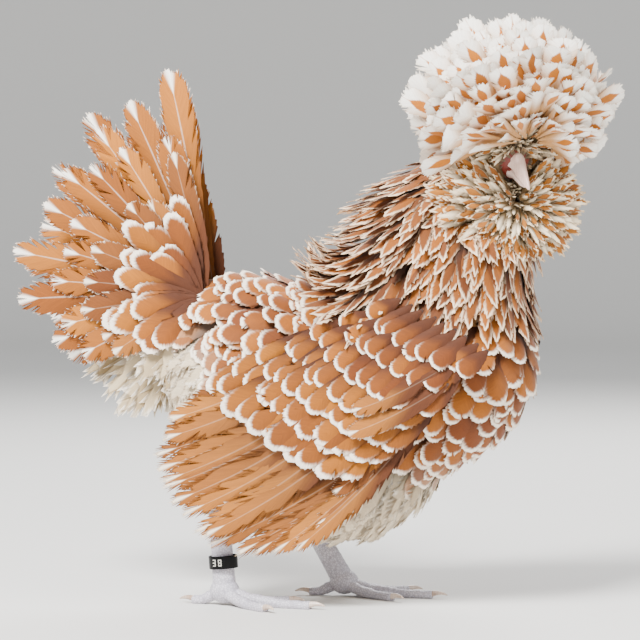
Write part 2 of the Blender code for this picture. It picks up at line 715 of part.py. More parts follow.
def wing_vane(root, tip, width, height, draw):
    """A vane of the left wing over the sheet that lies along the torso's side."""
    root, tip = np.array(root, float) * MM, np.array(tip, float) * MM
    long = width > LONG_WIDTH
    shares, halves = (LONG_SHARES, WING_HALVES) if long else (SHORT_SHARES, COVERT_HALVES)
    t = shares[:, None]
    sag = np.array([0.0, -1.0]) * np.linalg.norm(tip - root) * WING_SAG
    flat = root * (1 - t) + tip * t + sag * 4 * t * (1 - t)
    sheet = np.maximum(torso_side(flat[:, 0], flat[:, 1]) + 1.2 * MM, WING_SHEET)
    lift = height * MM + 0.8 * MM * shares
    path = np.stack([flat[:, 0], sheet + lift, flat[:, 1]], -1)
    tangent = unit(np.gradient(path, axis=0))
    across = unit(np.cross([0.0, 1.0, 0.0], tangent))
    half = width / 2 * MM * draw.uniform(0.95, 1.05)
    thick = LONG_THICK if long else SHORT_THICK
    rise = np.cross(tangent, across)
    return vane_object(path, across, rise, halves * half, thick, tilt=-0.13 if long else 0.1, cup=0.06)


def curve_through(first, middle, last, share):
    """A point on the parabola through three points."""
    first, middle, last = (np.array(point, float) for point in (first, middle, last))
    weights = (2 * (share - 0.5) * (share - 1), 4 * share * (1 - share), 2 * share * (share - 0.5))
    return first * weights[0] + middle * weights[1] + last * weights[2]


def make_wing(name, feathers):
    """A wing: primaries, secondaries over them, then rows of coverts, and the two quills of the alula."""
    draw = np.random.default_rng(14)
    wing = flesh(f"wing_{name}", WING_CORE, WING_MESH, feathers)
    made = []
    for count, tips, roots, width, height in WING_TIERS:
        for i in range(count):
            share = (i + draw.uniform(-0.1, 0.1)) / (count - 1)
            root, tip = curve_through(*roots, share), curve_through(*tips, share)
            made.append(wing_vane(root, tip, width, height, draw))
    for root, tip, height in ALULA:
        made.append(wing_vane(root, tip, ALULA_WIDTH, height, draw))
    boolean(wing, made, "UNION")
    carve(wing, torso_cutter())
    return mirror(wing) if name == "right" else wing


def tail_vane(angle, share, reach, width, aside, side, draw):
    """A vane of the fan at an angle over +X, its share of the way round and its distance from the middle."""
    t = LONG_SHARES[:, None]
    way = np.array([math.cos(angle), 0, math.sin(angle)])
    turn = np.array([-way[2], 0, way[0]])
    path = TAIL_ROOT + way * reach * t + turn * 0.05 * reach * t**2
    spread = 9.0 * LONG_SHARES * (0.4 + 0.6 * share)
    path[:, 1] = side * (aside + spread) * MM
    normal = np.tile([0.0, side, 0.0], (len(path), 1))
    tangent = unit(np.gradient(path, axis=0))
    across = unit(np.cross(normal, tangent))
    half = width / 2 * MM * draw.uniform(0.93, 1.05)
    rise = np.cross(tangent, across)
    return vane_object(path, across, rise, TAIL_HALVES * half, LONG_THICK, tilt=0.09 * side)


def make_tail(feathers):
    """The fan of the tail, two halves that lean together like a tent, with tiers of coverts."""
    draw = np.random.default_rng(15)
    tail = flesh("tail", TAIL_CORE, TAIL_MESH, feathers)
    made = []
    for side in (1, -1):
        for count, first, last, length, width, aside in TAIL_TIERS:
            for i in range(count):
                share = (i + 0.25 * (1 + side)) / (count - 0.5)
                angle = math.radians(first + (last - first) * share + draw.uniform(-2, 2))
                reach = length * MM * draw.uniform(0.95, 1.04) * (1.02 - 0.07 * share - 0.15 * share**4)
                made.append(tail_vane(angle, share, reach, width, aside + TAIL_STEP * i, side, draw))
    boolean(tail, made, "UNION")
    return carve(tail, torso_cutter())


def make_thigh(name, down):
    """One thigh, cut clear of the torso."""
    field = THIGHS[name]
    thigh = flesh(f"thigh_{name}", field, (field.centres[0] / MM, *THIGH_SIDES), down)
    return carve(thigh, torso_cutter())


def leg_axis(place, lean):
    """The ankle's middle and the way the shank rises from it."""
    foot = np.array([*place, FOOT_HEIGHT])
    return foot, np.array([-math.sin(lean), 0, math.cos(lean)])


def toe_path(foot, angle, length, hind):
    """The middle line of a toe, from inside the ankle along the floor."""
    way = np.array([math.cos(angle), math.sin(angle), 0])
    shares = np.linspace(0, 1, 7)
    pads = PAD_SWELL * np.sin(shares * 5 * math.pi) * (1 - shares)
    radii = TOE_RADIUS * (1 - TOE_TAPER * shares * (2 - shares)) * (1 + pads)
    rest = radii - SOLE_CUT
    rise = HIND_RISE if hind else FOOT_HEIGHT
    heights = rest + (rise - rest) * (1 - shares) ** (2.2 if hind else 3)
    points = foot * (1, 1, 0) + way * length * shares[:, None]
    points[:, 2] = heights
    return points, radii


def make_leg(name, place, lean, skin, horny):
    """The bare shank with its four toes, and the claws."""
    foot, up = leg_axis(place, lean)
    shares = np.linspace(0, 1, 9)
    swell = 1 + ANKLE_SWELL * (1 - shares) ** 4 + HOCK_SWELL * shares**4
    path = foot + up * SHANK_LENGTH * shares[:, None]
    form = tube(path, SHANK_WIDTH * swell, SHANK_DEPTH * swell, SHANK_SIDES, (1, 0, 0))
    shank = add(f"leg_{name}", *form, skin)
    side = 1 if name == "left" else -1
    toes, claws = [ellipsoid(foot, ANKLE_RADII)], []
    for toe, splay, length in TOES:
        angle = -side * math.radians(splay)
        points, radii = toe_path(foot, angle, length * MM, toe == "hind")
        toes.append(add("toe", *tube(points, radii, radii, TOE_SIDES)))
        claws.append(claw(f"claw_{name}_{toe}", points, angle, radii[-1], horny))
    boolean(shank, toes, "UNION")
    field = THIGHS[name]
    thigh = flesh("thigh_cutter", field, (field.centres[0] / MM, *THIGH_CUTTER_SIDES), level=GAP)
    carve(shank, thigh, torso_cutter(), slab(0.0, False))
    return [shank, *claws]


def claw(name, points, angle, radius, finish):
    """A curved claw, face to face with the end of its toe."""
    way = np.array([math.cos(angle), math.sin(angle), 0])
    straight = 0.08
    shares = np.array((0, straight, 0.5, 1))
    path = points[-1] + way * (GAP + CLAW_LENGTH * shares[:, None])
    bend = np.maximum(shares - straight, 0) / (1 - straight)
    path[:, 2] += 0.6 * MM + 1.2 * MM * np.sin(bend * math.pi * 0.8) - (points[-1][2] - 0.9 * MM) * bend**2
    thick = radius * 0.6 * (1 - shares) ** 0.8 + CLAW_TIP
    return add(name, *tube(path, thick * 0.8, thick, TOE_SIDES), finish)


def make_band(finish):
    """The numbered ring on the right shank, resting against its back."""
    foot, up = leg_axis(RIGHT_FOOT, RIGHT_LEAN)
    turn = np.linspace(0, 2 * math.pi, BAND_SIDES, endpoint=False)
    section = [(BAND_OUTER, -0.5), (BAND_OUTER, 0.5), (BAND_INNER, 0.5), (BAND_INNER, -0.5)]
    front = np.array([up[2], 0, -up[0]])
    centre = foot + up * (BAND_Z - FOOT_HEIGHT) + front * (BAND_INNER - BAND_REST - GAP)
    rings = [
        centre
        + radius * (np.cos(turn)[:, None] * front + np.sin(turn)[:, None] * np.array([0, 1, 0]))
        + up * BAND_HEIGHT * share
        for radius, share in section
    ]
    vertices = np.stack(rings, 1).reshape(-1, 3)
    faces = []
    sides = len(section)
    for i in range(BAND_SIDES):
        for j in range(sides):
            k = (j + 1) % sides
            a, b = i * sides, (i + 1) % BAND_SIDES * sides
            faces.append((a + j, b + j, b + k, a + k))
    return add("leg_band", vertices, faces, finish)


def clear_scene():
    """Removes what a new file starts with."""
    for shape in list(bpy.data.objects):
        bpy.data.objects.remove(shape, do_unlink=True)


def stand(shapes):
    """Turns the bird to its stance and puts the middle of its box at the origin."""
    bird = bpy.data.objects.new("bird", None)
    bpy.context.collection.objects.link(bird)
    bird.rotation_euler = (0, 0, STANCE_YAW)
    for shape in shapes:
        shape.parent = bird
    bpy.context.view_layer.update()
    corners = np.array([bird.matrix_world @ v.co for s in shapes for v in s.data.vertices])
    middle = (corners.min(0) + corners.max(0)) / 2
    bird.location = (-middle[0], -middle[1], 0)


def main():
    """Builds every node and stands the bird up."""
    clear_scene()
    down = material("down", "E2B48C", 0.9)
    feathers = material("feathers", "C9783F", 0.8)
    pale = material("pale_feathers", "EFE0CC", 0.85)
    skin = material("skin", "B5655B", 0.6)
    scales = material("scales", "A9A7B8", 0.5)
    keratin = material("keratin", "D9B3A6", 0.4)
    eyes = material("eyes", "3A1D10", 0.1)
    black = material("ring", "17171A", 0.4)
    shapes = [make_torso(down), make_neck(down), make_head(skin)]
    shapes += make_eyes(eyes) + make_beak(keratin)
    shapes += [make_crest(pale), make_beard(pale), make_tail(feathers)]
    shapes += [make_wing(name, feathers) for name in ("left", "right")]
    shapes += [make_thigh(name, down) for name in ("left", "right")]
    shapes += make_leg("left", LEFT_FOOT, LEFT_LEAN, scales, keratin)
    shapes += make_leg("right", RIGHT_FOOT, RIGHT_LEAN, scales, keratin)
    shapes.append(make_band(black))
    stand(shapes)


main()
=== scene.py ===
"""The looks of a bearded, crested hen of the Polish breed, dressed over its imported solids.

Everything is worked out in the bird's own frame in metres, with the nose along +X, its left side along +Y
and the floor at z = 0, and Stance.place then turns it to where the solids stand. Flesh is the level
surface of fields, each a smooth blend of ellipsoids, and feathers are closed vanes that follow those fields.
"""

import logging
import math
from dataclasses import dataclass, fields, replace
from enum import Enum
from typing import Any, Sequence

import bmesh
import bpy
import numpy as np
from mathutils import Matrix, Vector

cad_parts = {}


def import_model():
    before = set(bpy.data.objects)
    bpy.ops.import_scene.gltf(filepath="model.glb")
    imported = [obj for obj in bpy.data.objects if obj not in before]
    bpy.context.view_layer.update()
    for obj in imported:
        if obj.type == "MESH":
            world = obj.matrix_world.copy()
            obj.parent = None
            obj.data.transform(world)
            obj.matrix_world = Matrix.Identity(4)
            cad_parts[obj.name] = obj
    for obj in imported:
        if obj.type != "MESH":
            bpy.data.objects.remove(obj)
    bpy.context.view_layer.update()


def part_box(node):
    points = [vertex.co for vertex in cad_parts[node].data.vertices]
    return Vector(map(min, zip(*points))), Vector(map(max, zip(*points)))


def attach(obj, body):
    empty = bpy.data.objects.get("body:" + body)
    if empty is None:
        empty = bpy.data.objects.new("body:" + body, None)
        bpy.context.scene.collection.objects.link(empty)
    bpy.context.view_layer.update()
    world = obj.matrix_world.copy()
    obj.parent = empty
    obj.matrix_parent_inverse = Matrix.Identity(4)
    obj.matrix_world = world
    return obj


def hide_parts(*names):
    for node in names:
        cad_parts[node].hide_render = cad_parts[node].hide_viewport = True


LOG = logging.getLogger("hen")
BODY = "root"
MM = 0.001
Array = np.ndarray
Socket = bpy.types.NodeSocket

# Places in the bird's frame, and in the head's own frame with the beak along +X.
BAND_CENTRE = np.array([-64.857, -34.0, 26.984]) * MM
MOUTH_Z = -5.0 * MM
EYE_AT = np.array([7.0, 9.4, 3.0]) * MM
# Ellipsoids of the head's frame, as centre and radii in mm, that the balls of feathers keep out of.
BEAK_ROOMS = (((26, 0, -5), (21, 7.4, 9)), ((46, 0, -3), (31, 14, 12.5)), ((17, 0, -8), (17, 14, 3.4)))
# The radii of one more before each eye.
EYE_ROOM = (5, 4, 4)
# Each toe's name, its turn from straight ahead in degrees and its length in mm.
TOES = (("inner", 24.0, 40.0), ("middle", -4.0, 57.0), ("outer", -36.0, 43.0), ("hind", 172.0, 22.0))
# The number of points from root to tip at which a feather's path over the body is worked out.
KNOTS = 6
# The most feathers in one piece.
PIECE_COUNT = 330


def linear(code: str) -> tuple[float, float, float, float]:
    """The linear colour of an sRGB hex code.

    Args:
        code: six hex digits, such as C9712F.

    Returns:
        Red, green, blue and an alpha of one.
    """
    channels = [int(code[i : i + 2], 16) / 255 for i in (0, 2, 4)]
    return (*(c / 12.92 if c <= 0.04045 else ((c + 0.055) / 1.055) ** 2.4 for c in channels), 1.0)


def unit(vectors: Array) -> Array:
    """Vectors of any shape (..., 3) scaled to a length of one."""
    return vectors / np.maximum(np.linalg.norm(vectors, axis=-1, keepdims=True), 1e-12)


def smooth(values: Array, low: float, high: float) -> Array:
    """A soft step from 0 at low to 1 at high, 3t^2 - 2t^3 between them."""
    t = np.clip((values - low) / (high - low), 0, 1)
    return t * t * (3 - 2 * t)


@dataclass(frozen=True)
class Stance:
    """How the bird's frame stands in the frame of the solids."""

    yaw: float = math.radians(-18.0)
    shift: tuple[float, float, float] = (0.0, 0.0, 0.0)

    def place(self, points: Array) -> Array:
        """Turns by the yaw about +Z and shifts.

        Args:
            points: of the bird's frame, (..., 3).

        Returns:
            The same points in the solids' frame.
        """
        cos, sin = math.cos(self.yaw), math.sin(self.yaw)
        x = points[..., 0] * cos - points[..., 1] * sin
        y = points[..., 0] * sin + points[..., 1] * cos
        return np.stack([x, y, points[..., 2]], -1) + np.array(self.shift)


class Field:
    """A smooth blend of ellipsoids, negative inside, in about the units of distance.

    Each lobe is (centre, radii, pitch) in millimetres and degrees, and the pitch raises its +X end.
    """

    def __init__(self, blend: float, *lobes: Sequence[Any]) -> None:
        """Keeps the lobes as arrays.

        Args:
            blend: how softly the lobes flow together, in metres.
            lobes: the ellipsoids.
        """
        self.blend = blend
        self.centres = np.array([lobe[0] for lobe in lobes], float) * MM
        self.radii = np.array([lobe[1] for lobe in lobes], float) * MM
        pitches = np.radians([lobe[2] if len(lobe) > 2 else 0.0 for lobe in lobes])
        self.cos, self.sin = np.cos(pitches), np.sin(pitches)

    def __call__(self, points: Array) -> Array:
        """The level -b ln(sum of exp(-d / b)) over the lobes' distances d, with b the blend.

        Args:
            points: (..., 3).

        Returns:
            The level at each.
        """
        offset = points[..., None, :] - self.centres
        along = offset[..., 0] * self.cos + offset[..., 2] * self.sin
        up = offset[..., 2] * self.cos - offset[..., 0] * self.sin
        local = np.stack([along, offset[..., 1], up], -1)
        near = np.linalg.norm(local / self.radii, axis=-1)
        steep = np.linalg.norm(local / self.radii**2, axis=-1)
        distance = near * (near - 1.0) / np.maximum(steep, 1e-9)
        lowest = distance.min(-1)
        weights = np.exp(-(distance - lowest[..., None]) / self.blend)
        return lowest - self.blend * np.log(weights.sum(-1))

    def slope(self, points: Array) -> Array:
        """The outward unit normal of the level through each point, from central differences.

        Args:
            points: (..., 3).

        Returns:
            Unit vectors of the same shape.
        """
        step = 0.2 * MM
        slopes = [self(points + step * axis) - self(points - step * axis) for axis in np.eye(3)]
        return unit(np.stack(slopes, -1))

    def settle(self, points: Array, level: Array | float) -> Array:
        """Moves points along the slope until the field has the level there, by three Newton steps.

        Args:
            points: (..., 3), near the level.
            level: the level sought, one or (...).

        Returns:
            The moved points.
        """
        for _ in range(3):
            points = points - self.slope(points) * (self(points) - level)[..., None]
        return points

    def reach(self, origins: Array, ways: Array, level: float = 0.0, far: float = 0.2) -> Array:
        """Where rays from inside meet a level, by halving the interval that holds it.

        Args:
            origins: the rays' starts, (n, 3) or (3,).
            ways: their unit directions, (n, 3).
            level: the level sought.
            far: a distance that is surely outside.

        Returns:
            The points, (n, 3).
        """
        low, high = np.zeros(ways.shape[:-1]), np.full(ways.shape[:-1], far)
        for _ in range(20):
            middle = (low + high) / 2
            inside = self(origins + ways * middle[..., None]) < level
            low, high = np.where(inside, middle, low), np.where(inside, high, middle)
        return origins + ways * low[..., None]


# Ellipsoids of the flesh and its coat: centre and radii in mm, and the pitch in degrees.
TORSO_LOBES = (
    ((56, 0, 152), (69, 57, 64), 20),
    ((-8, 0, 126), (76, 57, 62), 8),
    ((0, 0, 96), (62, 48, 56), 0),
    ((-42, 0, 153), (50, 46, 46), 0),
    ((-78, 0, 175), (30, 20, 22), 25),
    ((-76, 0, 140), (36, 32, 34), -20),
)
NECK_LOBES = (
    ((68, 0, 204), (52, 48, 42), 20), ((72, 4, 230), (41, 38, 36), 0), ((80, 6, 250), (31, 30, 30), 0)
)
THIGH_LOBES = (((-54, -31, 88), (34, 17, 42), 30), ((-30, 31, 82), (34, 17, 42), 0))
TORSO = Field(9 * MM, *TORSO_LOBES)
NECK = Field(9 * MM, *NECK_LOBES)
BODY_FIELD = Field(9 * MM, *TORSO_LOBES, *NECK_LOBES)
REAR_FIELD = Field(9 * MM, *TORSO_LOBES, *THIGH_LOBES)
THIGHS = tuple(Field(6 * MM, lobe) for lobe in THIGH_LOBES)
# Where a folded wing lies, so that body feathers leave it free.
WING_ROOM = Field(5 * MM, ((38, 62, 151), (60, 12, 31), 33), ((-34, 56, 96), (46, 14, 24), 35))
HEAD = Field(
    3 * MM,
    ((-3, 0, 0), (21, 14.5, 15)),
    ((2, 0, 12), (15, 12.5, 11)),
    ((9, 0, -4), (13, 11, 9.5)),
    ((-5, 0, -9), (15, 11, 9)),
    ((16, 3.4, 3), (5, 3.2, 4)),
    ((16, -3.4, 3), (5, 3.2, 4)),
)
# How the head stands: turned toward the bird's right and nodding.
HEAD_AT = np.array([105.0, -5.0, 281.0]) * MM
HEAD_TURN = math.radians(-50.0)
HEAD_NOD = math.radians(20.0)
HEAD_MATRIX = np.array(
    Matrix.Translation(HEAD_AT) @ Matrix.Rotation(HEAD_TURN, 4, "Z") @ Matrix.Rotation(HEAD_NOD, 4, "Y")
)
HEAD_BACK = np.linalg.inv(HEAD_MATRIX)


def from_head(points: Array) -> Array:
    """Points of the head's own frame in the bird's frame."""
    return points @ HEAD_MATRIX[:3, :3].T + HEAD_MATRIX[:3, 3]


def to_head(points: Array) -> Array:
    """Points of the bird's frame in the head's own frame."""
    return points @ HEAD_BACK[:3, :3].T + HEAD_BACK[:3, 3]


def spiral(count: int) -> Array:
    """Evenly spread directions on a sphere, on a golden spiral: z falls evenly as the turn grows.

    Args:
        count: how many.

    Returns:
        Unit vectors, (count, 3).
    """
    index = np.arange(count) + 0.5
    polar = np.arccos(1 - 2 * index / count)
    turn = math.pi * (1 + math.sqrt(5)) * index
    return np.stack([np.cos(turn) * np.sin(polar), np.sin(turn) * np.sin(polar), np.cos(polar)], -1)


def scatter(points: Array, spacing: Array, draw: np.random.Generator) -> Array:
    """Picks points so that none is nearer to another than the spacing at it.

    Args:
        points: candidates, (n, 3), dense against the spacing.
        spacing: the least distance at each, (n,).
        draw: the random source that orders them.

    Returns:
        The indices of the chosen candidates.
    """
    left = draw.permutation(len(points))
    chosen = []
    while len(left):
        first = left[0]
        chosen.append(first)
        away = np.linalg.norm(points[left] - points[first], axis=1) > spacing[first]
        left = left[away]
    return np.array(chosen)


# Settings that recur. Map Range has its value at input 0 and its ends at 1 and 2, and Mix has its share at
# 0 and its two colours at 6 and 7.
SOFT_STEP = {"interpolation_type": "SMOOTHSTEP"}
COLOUR_MIX = {"data_type": "RGBA"}
MULTIPLY = {"operation": "MULTIPLY"}
MULTIPLY_ADD = {"operation": "MULTIPLY_ADD"}


def add_node(
    tree: bpy.types.NodeTree,
    kind: str,
    settings: dict | None = None,
    links: dict | None = None,
    out: int | str = 0,
) -> Socket:
    """Adds one shader node.

    Args:
        tree: the material's node tree.
        kind: the node's Blender type after ShaderNode.
        settings: values by property name, or by input name or number.
        links: by input name or number, a socket to link, a hex colour or a number.
        out: the output that is asked for.

    Returns:
        The socket of that output.
    """
    node = tree.nodes.new("ShaderNode" + kind)
    for key, value in (settings or {}).items():
        if isinstance(key, str) and hasattr(node, key):
            setattr(node, key, value)
        else:
            node.inputs[key].default_value = value
    for key, source in (links or {}).items():
        if isinstance(source, Socket):
            tree.links.new(source, node.inputs[key])
        else:
            node.inputs[key].default_value = linear(source) if isinstance(source, str) else source
    return node.outputs[out]


def blank_material(name: str, settings: dict) -> tuple[bpy.types.Material, bpy.types.Node]:
    """A new node material.

    Args:
        name: its name.
        settings: the shader's plain numbers and hex colours by input name.

    Returns:
        The material and its Principled shader.
    """
    made = bpy.data.materials.new(name)
    made.use_nodes = True
    shader = made.node_tree.nodes["Principled BSDF"]
    for key, value in settings.items():
        shader.inputs[key].default_value = linear(value) if isinstance(value, str) else value
    return made, shader


# The shader's plain numbers for keratin with a faint silk sheen.
SILK = {"Sheen Weight": 0.15, "Sheen Roughness": 0.5, "Specular IOR Level": 0.3}


@dataclass(frozen=True)
class Plumage:
    """Contour feathers: keratin barbs, matt with a faint silk sheen.

    The base is downy and pale, the middle holds the pigment and the rim is the pale lacing. Painted shade
    darkens each feather toward its covered base, and on some kinds the base colour itself. Barbs lie some 0.3
    mm apart in life and are drawn about three times as coarse, so that they show.
    """

    name: str  # the material's name
    dark: str  # the deepest pigment, which a feather with a tint of 0 has
    light: str  # the lightest pigment, which one with a tint of 1 has
    rim: str  # the lacing's colour
    base: str = "D9C3A8"  # the downy base's colour, on some kinds dark as painted shade between feathers
    # The share of the way out along a barb where the lacing begins, or a spindle's half width.
    rim_from: float = 0.62
    rim_soft: float = 0.16  # how softly it begins
    base_to: float = 0.3  # the share of length where the downy base ends
    base_soft: float = 0.2  # how softly it ends
    mark: bool = False  # whether the pigment is only a spindle near the tip, as on the crest
    tip_from: float = 2.0  # the share of length where a pale tip begins
    tip_more: float = 0.0  # how much sooner the lacing begins at the very tip
    side_from: float = 0.3  # the share of length where the lacing begins
    shaft: float = 0.0  # how much the quill shows
    wobble: float = 0.3  # how far the lacing's edge strays from barb to barb
    faded: str = "EAD9BE"  # the colour that a feather with pale at 1 takes
    depth: float = 0.55  # painted shade: the share of its brightness that the covered base keeps
    barbs: float = 34.0  # tones along the vane
    roughness: float = 0.75  # of the shader

    def strayed(self, tree: bpy.types.NodeTree, way: Socket, streak: Socket) -> Socket:
        """The way out from the quill, strayed barb by barb: way + wobble (streak - 1/2)."""
        near = add_node(tree, "Math", {"operation": "SUBTRACT"}, {0: way, 1: 0.5 * self.wobble})
        return add_node(tree, "Math", MULTIPLY_ADD, {0: streak, 1: self.wobble, 2: near})

    def spindle(self, tree: bpy.types.NodeTree, streak: Socket) -> Socket:
        """How far a place is outside the pigment's spindle near the tip.

        On the map of real shares of length and half width, the spindle's half width swells to rim_from
        at 0.7 of the length and closes again before the tip.

        Args:
            tree: the material's node tree.
            streak: the barbs' noise.

        Returns:
            A socket, 0 on the pigment and 1 off it.
        """
        place = add_node(tree, "UVMap", {"uv_map": "Place"})
        reach = add_node(tree, "SeparateXYZ", links={0: place})
        aside = reach.node.outputs[1]
        swell = add_node(tree, "MapRange", SOFT_STEP, {0: reach, 1: 0.4, 2: 0.68})
        close = add_node(tree, "MapRange", SOFT_STEP, {0: reach, 1: 0.93, 2: 0.72})
        bell = add_node(tree, "Math", MULTIPLY, {0: swell, 1: close})
        soft = 0.5 * self.rim_soft
        start = add_node(tree, "Math", MULTIPLY_ADD, {0: bell, 1: self.rim_from + soft, 2: -soft})
        end = add_node(tree, "Math", {"operation": "ADD"}, {0: start, 1: self.rim_soft})
        strayed = self.strayed(tree, aside, streak)
        return add_node(tree, "MapRange", SOFT_STEP, {0: strayed, 1: start, 2: end})

    def lacing(self, tree: bpy.types.NodeTree, share: Socket, rim: Socket, streak: Socket) -> Socket:
        """How far the pale lacing has replaced the pigment, thickest round the tip.

        Args:
            tree: the material's node tree.
            share: the outline's share from base to tip.
            rim: the share of the way out along a barb.
            streak: the barbs' noise.

        Returns:
            A socket, 0 on the pigment and 1 on the lacing.
        """
        strayed = self.strayed(tree, rim, streak)
        end = add_node(tree, "MapRange", SOFT_STEP, {0: share, 1: 0.6, 2: 1.0})
        strayed = add_node(tree, "Math", MULTIPLY_ADD, {0: end, 1: self.tip_more, 2: strayed})
        edge = add_node(
            tree, "MapRange", SOFT_STEP, {0: strayed, 1: self.rim_from, 2: self.rim_from + self.rim_soft}
        )
        sides = add_node(tree, "MapRange", SOFT_STEP, {0: share, 1: self.side_from, 2: self.side_from + 0.3})
        edge = add_node(tree, "Math", MULTIPLY, {0: edge, 1: sides})
        if self.tip_from >= 1:
            return edge
        tip = add_node(tree, "MapRange", SOFT_STEP, {0: share, 1: self.tip_from, 2: self.tip_from + 0.1})
        return add_node(tree, "Math", {"operation": "MAXIMUM"}, {0: edge, 1: tip})

    def material(self) -> bpy.types.Material:
        """Builds the node material, or returns it if it is there.

        The vane's map runs from base to tip along x and from the quill to the rim along y, so a function
        of y follows the outline, and one of x follows the barbs. Noise stretched along y gives each
        barb its own tone and lets the lacing begin a little nearer or farther on it.

        Returns:
            The material.
        """
        if self.name in bpy.data.materials:
            return bpy.data.materials[self.name]
        made, shader = blank_material(self.name, {"Roughness": self.roughness, **SILK})
        tree = made.node_tree
        coords = add_node(tree, "UVMap", {"uv_map": "Vane"})
        share = add_node(tree, "SeparateXYZ", links={0: coords})
        rim = share.node.outputs[1]
        tint = add_node(tree, "Attribute", {"attribute_name": "tint"}, out="Fac")
        pale = add_node(tree, "Attribute", {"attribute_name": "pale"}, out="Fac")
        along = add_node(tree, "Math", MULTIPLY, {0: share, 1: self.barbs})
        across = add_node(tree, "Math", MULTIPLY, {0: rim, 1: 1.3})
        other = add_node(tree, "Math", MULTIPLY, {0: tint, 1: 61.0})
        spot = add_node(tree, "CombineXYZ", links={0: along, 1: across, 2: other})
        streak = add_node(
            tree, "TexNoise", {"Scale": 1.0, "Detail": 3.0, "Roughness": 0.65}, {"Vector": spot}
        )
        downy = add_node(
            tree, "MapRange", SOFT_STEP, {0: share, 1: self.base_to + self.base_soft, 2: self.base_to}
        )
        pigment = add_node(tree, "Mix", COLOUR_MIX, {0: tint, 6: self.dark, 7: self.light}, out=2)
        if self.mark:
            edge = self.spindle(tree, streak)
            faded = add_node(tree, "Mix", COLOUR_MIX, {0: downy, 6: self.rim, 7: self.base}, out=2)
            laced = add_node(tree, "Mix", COLOUR_MIX, {0: edge, 6: pigment, 7: faded}, out=2)
        else:
            edge, faded = self.lacing(tree, share, rim, streak), self.faded
            inner = add_node(tree, "Mix", COLOUR_MIX, {0: downy, 6: pigment, 7: self.base}, out=2)
            laced = add_node(tree, "Mix", COLOUR_MIX, {0: edge, 6: inner, 7: self.rim}, out=2)
        if self.shaft:
            quill = add_node(tree, "MapRange", SOFT_STEP, {0: rim, 1: 0.07, 2: 0.02})
            quill = add_node(tree, "Math", MULTIPLY, {0: quill, 1: self.shaft})
            laced = add_node(tree, "Mix", COLOUR_MIX, {0: quill, 6: laced, 7: self.rim}, out=2)
        whole = add_node(tree, "Mix", COLOUR_MIX, {0: pale, 6: laced, 7: faded}, out=2)
        # Painted shade: the colour darkens toward the feather's covered base, down to depth of its
        # brightness.
        open_part = add_node(tree, "MapRange", SOFT_STEP, {0: share, 1: 0.2, 2: 0.8})
        painted_shade = add_node(tree, "Math", MULTIPLY_ADD, {0: open_part, 1: 1.0 - self.depth, 2: self.depth})
        tone = add_node(tree, "Math", MULTIPLY_ADD, {0: streak, 1: 0.6, 2: 0.7})
        tone = add_node(tree, "Math", MULTIPLY, {0: tone, 1: painted_shade})
        bright = add_node(
            tree, "Mix", {"data_type": "RGBA", "blend_type": "MULTIPLY", 0: 1.0}, {6: whole, 7: tone}, out=2
        )
        tree.links.new(bright, shader.inputs["Base Color"])
        bump = add_node(tree, "Bump", {"Strength": 0.5, "Distance": 0.2 * MM}, {"Height": streak})
        tree.links.new(bump, shader.inputs["Normal"])
        return made


